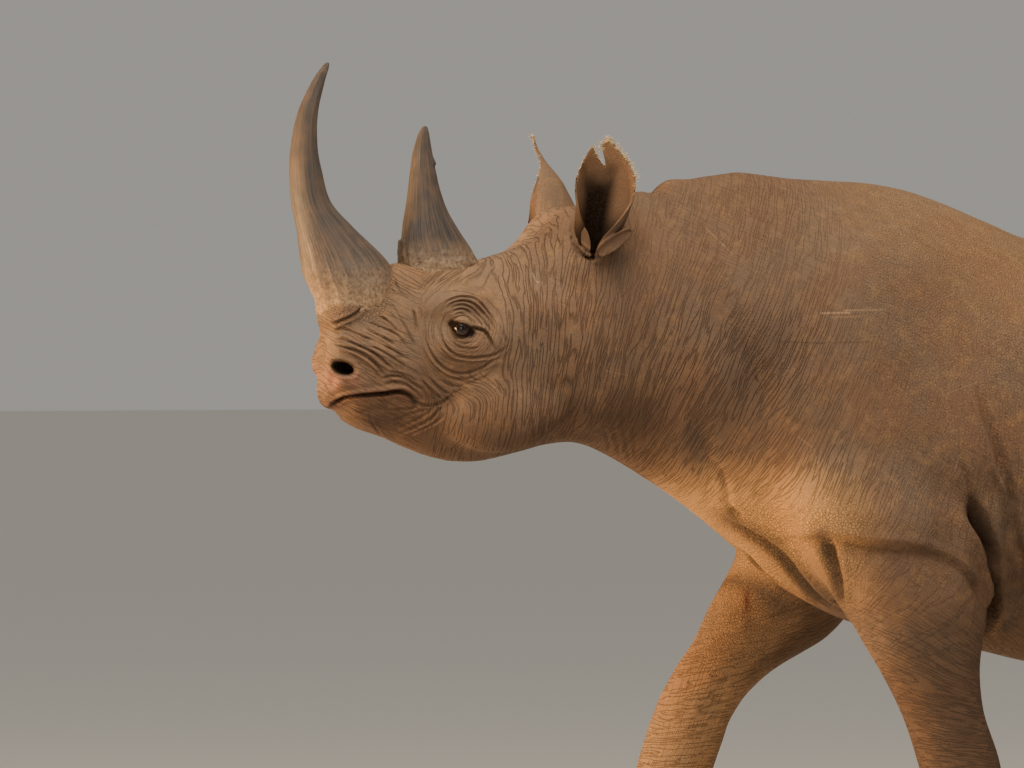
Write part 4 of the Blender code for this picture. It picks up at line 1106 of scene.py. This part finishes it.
# For each horn: height, place along from the withers, half depth, half width
HORNS = {
    "horn_front": ((1.215, -0.838, 0.060, 0.048), (1.240, -0.840, 0.072, 0.056),
                   (1.275, -0.842, 0.080, 0.061), (1.311, -0.853, 0.087, 0.062),
                   (1.345, -0.867, 0.080, 0.055), (1.398, -0.899, 0.056, 0.043),
                   (1.447, -0.927, 0.038, 0.034), (1.504, -0.938, 0.031, 0.029),
                   (1.553, -0.941, 0.025, 0.024), (1.615, -0.934, 0.019, 0.019),
                   (1.670, -0.915, 0.0125, 0.0125), (1.697, -0.902, 0.008, 0.008),
                   (1.710, -0.895, 0.0035, 0.0035)),
    "horn_rear": ((1.280, -0.676, 0.074, 0.042), (1.308, -0.677, 0.079, 0.045), (1.335, -0.678, 0.078, 0.045),
                  (1.362, -0.686, 0.070, 0.041), (1.389, -0.694, 0.060, 0.037), (1.427, -0.701, 0.043, 0.031),
                  (1.471, -0.706, 0.031, 0.025), (1.504, -0.708, 0.025, 0.021), (1.538, -0.709, 0.019, 0.016),
                  (1.575, -0.707, 0.011, 0.009), (1.592, -0.704, 0.004, 0.004)),
}


FOOT_CLOSES = 0.03  # shares of a horn's rows in which its foot and its tip draw together
TIP_CLOSES = 0.012


def through(rows, where):
    """Rows of a table read on a smooth curve, at places counted from 0 to 1."""
    p = np.array(rows)
    p = np.vstack((2 * p[0] - p[1], p, 2 * p[-1] - p[-2]))
    row = np.clip(where, 0.0, 1.0) * (len(rows) - 1)
    first = np.minimum(row.astype(int), len(rows) - 2)
    return smooth_step((row - first)[:, None], *[p[first + step] for step in range(4)])


# Matted keratin fibres: streaked and half glossy where rubbed, and crumbly and dull at the foot
keratin, shader = surface("matted_horn_keratin", 0.5)
made = keratin
fibre_at = add(made, "Attribute", attribute_name="fibre").outputs["Vector"]
growth = add(made, "Attribute", attribute_name="growth").outputs["Vector"]
at_foot, at_edge = add(made, "SeparateXYZ", {0: growth}).outputs[:2]
# fibres about 1.5 mm thick, drawn twice as coarse so that they show
fibres = add(made, "TexNoise", {"Vector": fibre_at, "Scale": 1.0, "Detail": 4.0, "Roughness": 0.65})
cracks = add(made, "TexNoise", {"Vector": fibre_at, "Scale": 0.35, "Detail": 3.0})
# crumbs of 7 mm and clouds of 40 mm
place = add(made, "TexCoord").outputs["Object"]
crumbs = add(made, "TexNoise", {"Vector": place, "Scale": 150.0, "Detail": 4.0, "Roughness": 0.7})
clouds = add(made, "TexNoise", {"Vector": place, "Scale": 26.0, "Detail": 3.0})
in_crumbs = add(made, "MapRange", {0: crumbs.outputs["Fac"], 1: 0.38, 2: 0.66}).outputs[0]
foot_colour = add(made, "Mix", {0: in_crumbs, 6: linear("#6c5743"), 7: linear("#ad8f6c")},
                  data_type="RGBA").outputs[2]
light_fibres = add(made, "MapRange", {0: fibres.outputs["Fac"], 1: 0.4, 2: 0.6}).outputs[0]
in_clouds = add(made, "MapRange", {0: clouds.outputs["Fac"], 1: 0.46, 2: 0.7, 4: 0.5}).outputs[0]
in_cracks = add(made, "MapRange", {0: cracks.outputs["Fac"], 1: 0.4, 2: 0.3, 4: 0.5}).outputs[0]
colour = linear("#2b2b2d")
for share, tone in (
        (light_fibres, linear("#574a3f")), (in_clouds, linear("#6b5340")), (at_edge, linear("#4d3b2a")),
        (at_foot, foot_colour), (in_cracks, linear("#2c221a"))):
    colour = add(made, "Mix", {0: share, 6: colour, 7: tone}, data_type="RGBA").outputs[2]
rough = add(made, "MapRange", {0: at_foot, 1: 0.0, 2: 1.0, 3: 0.42, 4: 0.85}).outputs[0]
rough_foot = add(made, "Math", {0: crumbs.outputs["Fac"], 1: at_foot}, operation="MULTIPLY").outputs[0]
height = add(made, "Math", {0: rough_foot, 1: 1.6, 2: fibres.outputs["Fac"]},
             operation="MULTIPLY_ADD").outputs[0]
relief = add(made, "Bump", {"Height": height, "Strength": 0.9, "Distance": 0.0016})
for socket, value in (("Base Color", colour), ("Normal", relief.outputs[0]), ("Roughness", rough)):
    made.node_tree.links.new(value, shader.inputs[socket])

for name, rows in HORNS.items():
    horn = leaf(name + "_keratin", HORN_SIDES, HORN_RINGS)
    angle, share, _ = places(horn).T
    angle = math.pi * angle
    share = (share + 1.0) / 2.0
    lengthways, across = np.cos(angle), np.sin(angle)
    closing = np.minimum(ramp(-0.001, FOOT_CLOSES, share), 1.0)
    closing = closing * np.sqrt(np.clip((1.0 - share) / TIP_CLOSES, 0.0, 1.0))
    along_horn = np.clip((share - FOOT_CLOSES) / (1.0 - FOOT_CLOSES), 0.0, 1.0)
    level_of, place_of, deep, wide = through(rows, along_horn).T
    around = np.c_[lengthways, across, 6.0 * along_horn]
    ridges = mottle(around * (9.0, 9.0, 1.0), 1.0, 7) * 0.6 + mottle(around * (22.0, 22.0, 1.6), 1.0, 8) * 0.4
    foot = ramp(0.40, 0.05, along_horn)
    ridge_height = (0.0010 + 0.0022 * foot) * ramp(1.0, 0.8, along_horn)
    lumps = 0.0022 * foot * mottle(np.c_[lengthways, across, 14.0 * along_horn] * 3.0, 1.0, 9)
    swell = 1.0 + (ridges * ridge_height + lumps) / np.maximum(wide, 0.004)
    low = level_of - SUNK_IN * ramp(0.10, 0.0, along_horn)
    if name == "horn_rear":
        # a splinter stands off its rear edge, and a step breaks its front edge low down
        rear_edge = ramp(0.5, 0.95, lengthways)
        swell = swell + 0.16 * rear_edge * ramp(0.735, 0.750, along_horn) * ramp(0.80, 0.752, along_horn)
        front_edge = ramp(-0.80, -0.97, lengthways + 0.05 * mottle(around, 0.3, 12))
        swell = swell - 0.09 * front_edge * ramp(0.355, 0.37, along_horn) * ramp(0.50, 0.38, along_horn)
    put(horn, withers + np.c_[place_of + deep * swell * closing * lengthways,
                              wide * swell * closing * across, low])
    tag(horn, "fibre", np.c_[lengthways * 26.0, across * 26.0, along_horn * 5.0])
    worn = ramp(0.80, 0.97, np.abs(lengthways)) * ramp(0.99, 0.85, along_horn) * 0.65
    tag(horn, "growth", np.c_[foot, worn, along_horn])
    bm = bmesh.new()
    bm.from_mesh(horn.data)
    bmesh.ops.remove_doubles(bm, verts=bm.verts, dist=0.00005)
    bmesh.ops.recalc_face_normals(bm, faces=bm.faces)
    bm.to_mesh(horn.data)
    bm.free()
    finish(horn, "root", "horn_keratin", keratin, name)

# ---------------------------------------------------------------- toenails
# Three broad nails of hard keratin grow from the front of each foot, worn flat below and dull with dust.
# They stop a little above the ground, and the sole carries the weight.
# Dull ridged keratin: dark streaks down the nail, smeared with dry dust
nail_keratin, shader = surface("dusty_toenail_keratin", 0.6)
made = nail_keratin
place = add(made, "TexCoord").outputs["Object"]
# streaks 4 mm apart and 33 mm long, and smuts of 17 mm
stretched = add(made, "Mapping", {"Vector": place, "Scale": (260.0, 260.0, 30.0)})
streaks = add(made, "TexNoise", {"Vector": stretched.outputs[0], "Scale": 1.0, "Detail": 4.0})
smuts = add(made, "TexNoise", {"Vector": place, "Scale": 60.0, "Detail": 3.0})
light_streaks = add(made, "MapRange", {0: streaks.outputs["Fac"], 1: 0.35, 2: 0.65}).outputs[0]
in_smuts = add(made, "MapRange", {0: smuts.outputs["Fac"], 1: 0.48, 2: 0.7, 4: 0.7}).outputs[0]
colour = linear("#3a2f27")
for share, tone in ((light_streaks, "#6b5645"), (in_smuts, "#94785a")):
    colour = add(made, "Mix", {0: share, 6: colour, 7: linear(tone)}, data_type="RGBA").outputs[2]
relief = add(made, "Bump", {"Height": streaks.outputs["Fac"], "Strength": 0.8, "Distance": 0.001})
for socket, value in (("Base Color", colour), ("Normal", relief.outputs[0])):
    made.node_tree.links.new(value, shader.inputs[socket])
NAIL_GRAIN = 0.0022
SOLE_DEPTH = 0.03  # how much of the foot above the ground shows where its middle is
NAIL_REACH = 0.108  # from the middle of the foot out to the flat of a nail
NAIL_CROWN = 0.45  # how much of its roundness a nail keeps beyond that
for foot in ("front_left", "front_right", "hind_left", "hind_right"):
    nodes = ["nail_{}_{}".format(foot, number) for number in (1, 2, 3)]
    nails = new_piece("nails_" + foot, copied(nodes, 0.0))
    remesh(nails, NAIL_GRAIN)
    low = copied(["leg_" + foot], 0.0)
    sole = np.array([vertex.co[:2] for vertex in low.verts if vertex.co.z < SOLE_DEPTH])
    low.free()
    centre = (sole.min(0) + sole.max(0)) / 2.0
    worn = places(nails)
    out = worn[:, :2] - centre
    reach = np.linalg.norm(out, axis=1)
    flat = np.where(reach > NAIL_REACH, NAIL_REACH + NAIL_CROWN * (reach - NAIL_REACH), reach)
    worn[:, :2] = centre + out * (flat / reach)[:, None]
    put(nails, worn)
    ease(nails, np.full(len(nails.data.vertices), 0.5), 8)
    finish(nails, "root", "nail_keratin", nail_keratin, *nodes)

# ---------------------------------------------------------------- ear fringes
# Short cream hairs stand in tufts along the torn rear edge of the left ear, and thinly round the other
# rims. Every tuft is a tapering spike rooted in the gristle.
TUFT_SIDES = 5
ROOTED = 0.0035  # how deep a hair of the fringe starts in the rim
PATCH = 0.0015  # half the width of a tuft's patch on the coat's map
chance = np.random.default_rng(8)


def row_of_tufts(name, count, cuts):
    """Tapering tufts of unit size, standing in a row three units apart."""
    bm = bmesh.new()
    bmesh.ops.create_cone(bm, cap_ends=True, segments=TUFT_SIDES, radius1=1.0, radius2=0.15, depth=1.0,
                          matrix=Matrix.Translation((0.0, 0.0, 0.5)))
    rising = [edge for edge in bm.edges if abs(edge.verts[0].co.z - edge.verts[1].co.z) > 0.5]
    bmesh.ops.subdivide_edges(bm, edges=rising, cuts=cuts, use_grid_fill=True)
    piece = new_piece(name, bm)
    row = piece.modifiers.new("row", "ARRAY")
    row.count = count
    row.use_relative_offset = False
    row.use_constant_offset = True
    row.constant_offset_displace = (3.0, 0.0, 0.0)
    settled(piece)
    return piece


def unit(rows):
    """Directions of length 1."""
    return rows / (np.linalg.norm(rows, axis=1)[:, None] + 1e-9)


def grow(piece, roots, leads, bows, lengths, girths, patches):
    """Moves each tuft of a row to its root, leads it off and bows it, and gives it its patch of the map."""
    local = places(piece)
    which = np.repeat(np.arange(len(roots)), len(local) // len(roots))
    local[:, 0] -= 3.0 * which
    lead = leads[which]
    sideways = unit(np.cross(lead, (0.31, 0.52, 0.79)))
    other = np.cross(lead, sideways)
    rise = local[:, 2]
    girth = girths[which] * (1.0 - 0.55 * rise ** 2)
    placed = roots[which] + lead * (rise * lengths[which])[:, None] + bows[which] * (rise ** 2)[:, None]
    put(piece, placed + (sideways * local[:, :1] + other * local[:, 1:2]) * girth[:, None])
    spots = patches[which] + PATCH * (1.0 - 0.8 * rise)[:, None] * local[:, :2]
    corners = np.empty(len(piece.data.loops), np.int32)
    piece.data.loops.foreach_get("vertex_index", corners)
    coat_map = piece.data.uv_layers.new(name="OFBake")
    coat_map.uv.foreach_set("vector", spots[corners].astype(np.float32).ravel())


# Dry cream hair: soft and matt, with browner tufts every few mm
cream_hair, shader = surface("cream_ear_hair", 0.75)
made = cream_hair
tones = add(made, "TexNoise", {"Vector": add(made, "TexCoord").outputs["Object"], "Scale": 180.0,
                               "Detail": 2.0})
share = add(made, "MapRange", {0: tones.outputs["Fac"], 1: 0.36, 2: 0.58}).outputs[0]
colour = add(made, "Mix", {0: share, 6: linear("#8a6a48"), 7: linear("#d9c39a")}, data_type="RGBA")
made.node_tree.links.new(colour.outputs[2], shader.inputs["Base Color"])

# For each ear: how many tufts, where they stand from front rim to rear rim, and how long they are
FRINGES = {
    "ear_left": ((420, 0.10, 0.93, 0.0095), (60, -0.98, -0.30, 0.0040), (70, -0.20, 0.08, 0.0055)),
    "ear_right": ((110, -0.30, 0.45, 0.0070), (70, -0.95, 0.95, 0.0040)),
}
for name, runs in FRINGES.items():
    places_across, tops = np.array(EAR_EDGES[name]).T
    u = np.concatenate([chance.uniform(start, end, count) for count, start, end, _ in runs])
    long = np.concatenate([np.full(count, length) for count, _, _, length in runs])
    long *= chance.uniform(0.6, 1.35, len(u)) * (1.0 + 0.35 * mottle(np.c_[u, u * 0.0, u * 0.0], 0.05, 21))
    top = np.interp(u, places_across, tops) + raggedness(name, u)
    rim = on_ear(name, u, top)
    upward = unit(rim - on_ear(name, u, top - 0.008))
    course = unit(on_ear(name, u + 0.01, np.interp(u + 0.01, places_across, tops)) - rim)
    lead = unit(upward - course * (upward * course).sum(1)[:, None])
    lead = unit(lead + chance.normal(0.0, 0.28, (len(u), 3)) + 0.25 * course)
    fringe = row_of_tufts(name + "_fringe", len(u), 2)
    patch = np.c_[0.02 + 0.46 * (u + 1.0) / 2.0 + (0.5 if name == "ear_right" else 0.0), 0.02 + 3.8 * top]
    grow(fringe, rim - lead * ROOTED + chance.normal(0.0, 0.0009, (len(u), 3)), lead,
         chance.normal(0.0, 0.0014, (len(u), 3)), long + ROOTED, chance.uniform(0.00035, 0.00065, len(u)),
         patch)
    finish(fringe, "root", "bristle", cream_hair)

# ---------------------------------------------------------------- tail bristles
# Stiff black bristles stand in a flat fringe before and behind the last third of the tail. Each is a
# tapering spike rooted in the tail.
BRISTLES = 300
TAIL_END = (1.932, 0.695)  # along from the withers and height
# Coarse black hair: half glossy, and browner where the sun has bleached it
black_bristle, shader = surface("black_tail_bristle", 0.45)
made = black_bristle
tones = add(made, "TexNoise", {"Vector": add(made, "TexCoord").outputs["Object"], "Scale": 90.0})
share = add(made, "MapRange", {0: tones.outputs["Fac"], 1: 0.4, 2: 0.65}).outputs[0]
colour = add(made, "Mix", {0: share, 6: linear("#120e0b"), 7: linear("#3a2c22")}, data_type="RGBA")
made.node_tree.links.new(colour.outputs[2], shader.inputs["Base Color"])

high = chance.uniform(0.0, 1.0, BRISTLES) ** 1.3
turned = np.where(chance.uniform(size=BRISTLES) < 0.5, 0.0, math.pi) + chance.normal(0.0, 0.8, BRISTLES)
out = np.c_[np.cos(turned), 0.45 * np.sin(turned), 0.0 * turned]
roots = withers + np.c_[TAIL_END[0] + 0.010 * np.cos(turned), 0.009 * np.sin(turned),
                        TAIL_END[1] + 0.100 * high]
lead = unit(out * (chance.uniform(0.02, 0.34, BRISTLES) - 0.08 * high)[:, None] + (0.0, 0.0, -1.0))
bristles = row_of_tufts("tail_bristles", BRISTLES, 3)
grow(bristles, roots, lead, -out * chance.uniform(0.004, 0.022, BRISTLES)[:, None],
     chance.uniform(0.070, 0.165, BRISTLES), chance.uniform(0.0007, 0.0013, BRISTLES),
     np.c_[0.02 + 0.96 * (turned % (2.0 * math.pi)) / (2.0 * math.pi), 0.02 + 0.96 * high])
finish(bristles, "root", "bristle", black_bristle, "tail_tuft")

# ---------------------------------------------------------------- lashes
# A few short stiff lashes stand out over each eye from the edge of the upper lid. They are single black
# bristles, rooted in the lid.
LASHES = 34
for name, side in (("left", LEFT), ("right", RIGHT)):
    share = np.sort(chance.uniform(0.0, 1.0, LASHES))
    across = (-17.0 + 34.0 * share) * MM
    up = (11.5 + 1.0 * share - 13.0 * share ** 2) * MM
    roots, facing = on_hide(np.c_[across, up], eye_spot[side], side)
    away = sheet(side)[2]
    lead = unit(facing * 0.4 + away + np.array((0.0, 0.0, -0.35)) + chance.normal(0.0, 0.12, roots.shape))
    lashes = row_of_tufts("lashes_" + name, len(roots), 2)
    share = share[:len(roots)]
    grow(lashes, roots - lead * 0.002, lead, np.tile((0.0, 0.0, -0.0015), (len(roots), 1)),
         chance.uniform(0.007, 0.012, len(roots)), np.full(len(roots), 0.00028),
         np.c_[0.05 + 0.90 * share, np.full(len(roots), 0.3 if side == LEFT else 0.7)])
    finish(lashes, "root", "bristle", black_bristle)

# ---------------------------------------------------------------- floor, light and camera
# A plain pale floor of matt card under plain studio air. A broad softbox hangs overhead, a warm one stands
# before the nose, and a gentle fill stands beside the camera.
bm = bmesh.new()
bmesh.ops.create_grid(bm, x_segments=1, y_segments=1, size=60.0)
floor = new_piece("floor", bm)
card, shader = surface("matt_card", 0.9)
shader.inputs["Base Color"].default_value = linear("#e9e6df")
floor.data.materials.append(card)


def softbox(name, spot, aim, size, watts, colour):
    """A square soft light that looks at a point."""
    light = bpy.data.lights.new(name, "AREA")
    light.size = size
    light.energy = watts
    light.color = linear(colour)[:3]
    lamp = bpy.data.objects.new(name, light)
    lamp.location = spot
    lamp.rotation_euler = (Vector(spot) - Vector(aim)).to_track_quat("Z", "Y").to_euler()
    bpy.context.scene.collection.objects.link(lamp)


softbox("overhead", (-1.2, -1.6, 4.6), (-0.6, 0.0, 1.0), 3.2, 235.0, "#fff0dc")
softbox("nose_side", (-4.9, 1.2, 0.9), (-0.5, 0.0, 0.9), 1.6, 400.0, "#ffc98a")
softbox("camera_side", (-3.4, -5.4, 1.6), (-0.6, 0.0, 1.0), 2.6, 62.0, "#fff4e8")
air = bpy.data.worlds.new("studio_air")
air.use_nodes = True
air.node_tree.nodes["Background"].inputs["Color"].default_value = linear("#d8d4cc")
air.node_tree.nodes["Background"].inputs["Strength"].default_value = 0.50
bpy.context.scene.world = air

# A long lens 16.1 m away and 1.3 m up, which looks at the head, turned 18 degrees towards the nose
AIM = (-1.037, 0.0005, 1.106)
AWAY = 16.1
lens = bpy.data.cameras.new("camera")
lens.lens = 300.0
camera = bpy.data.objects.new("camera", lens)
turn, rise = math.radians(-18.0), math.radians(0.8)
back = Vector((math.sin(turn) * math.cos(rise), -math.cos(turn) * math.cos(rise), math.sin(rise)))
camera.location = Vector(AIM) + back * AWAY
camera.rotation_euler = back.to_track_quat("Z", "Y").to_euler()
bpy.context.scene.collection.objects.link(camera)
bpy.context.scene.camera = camera
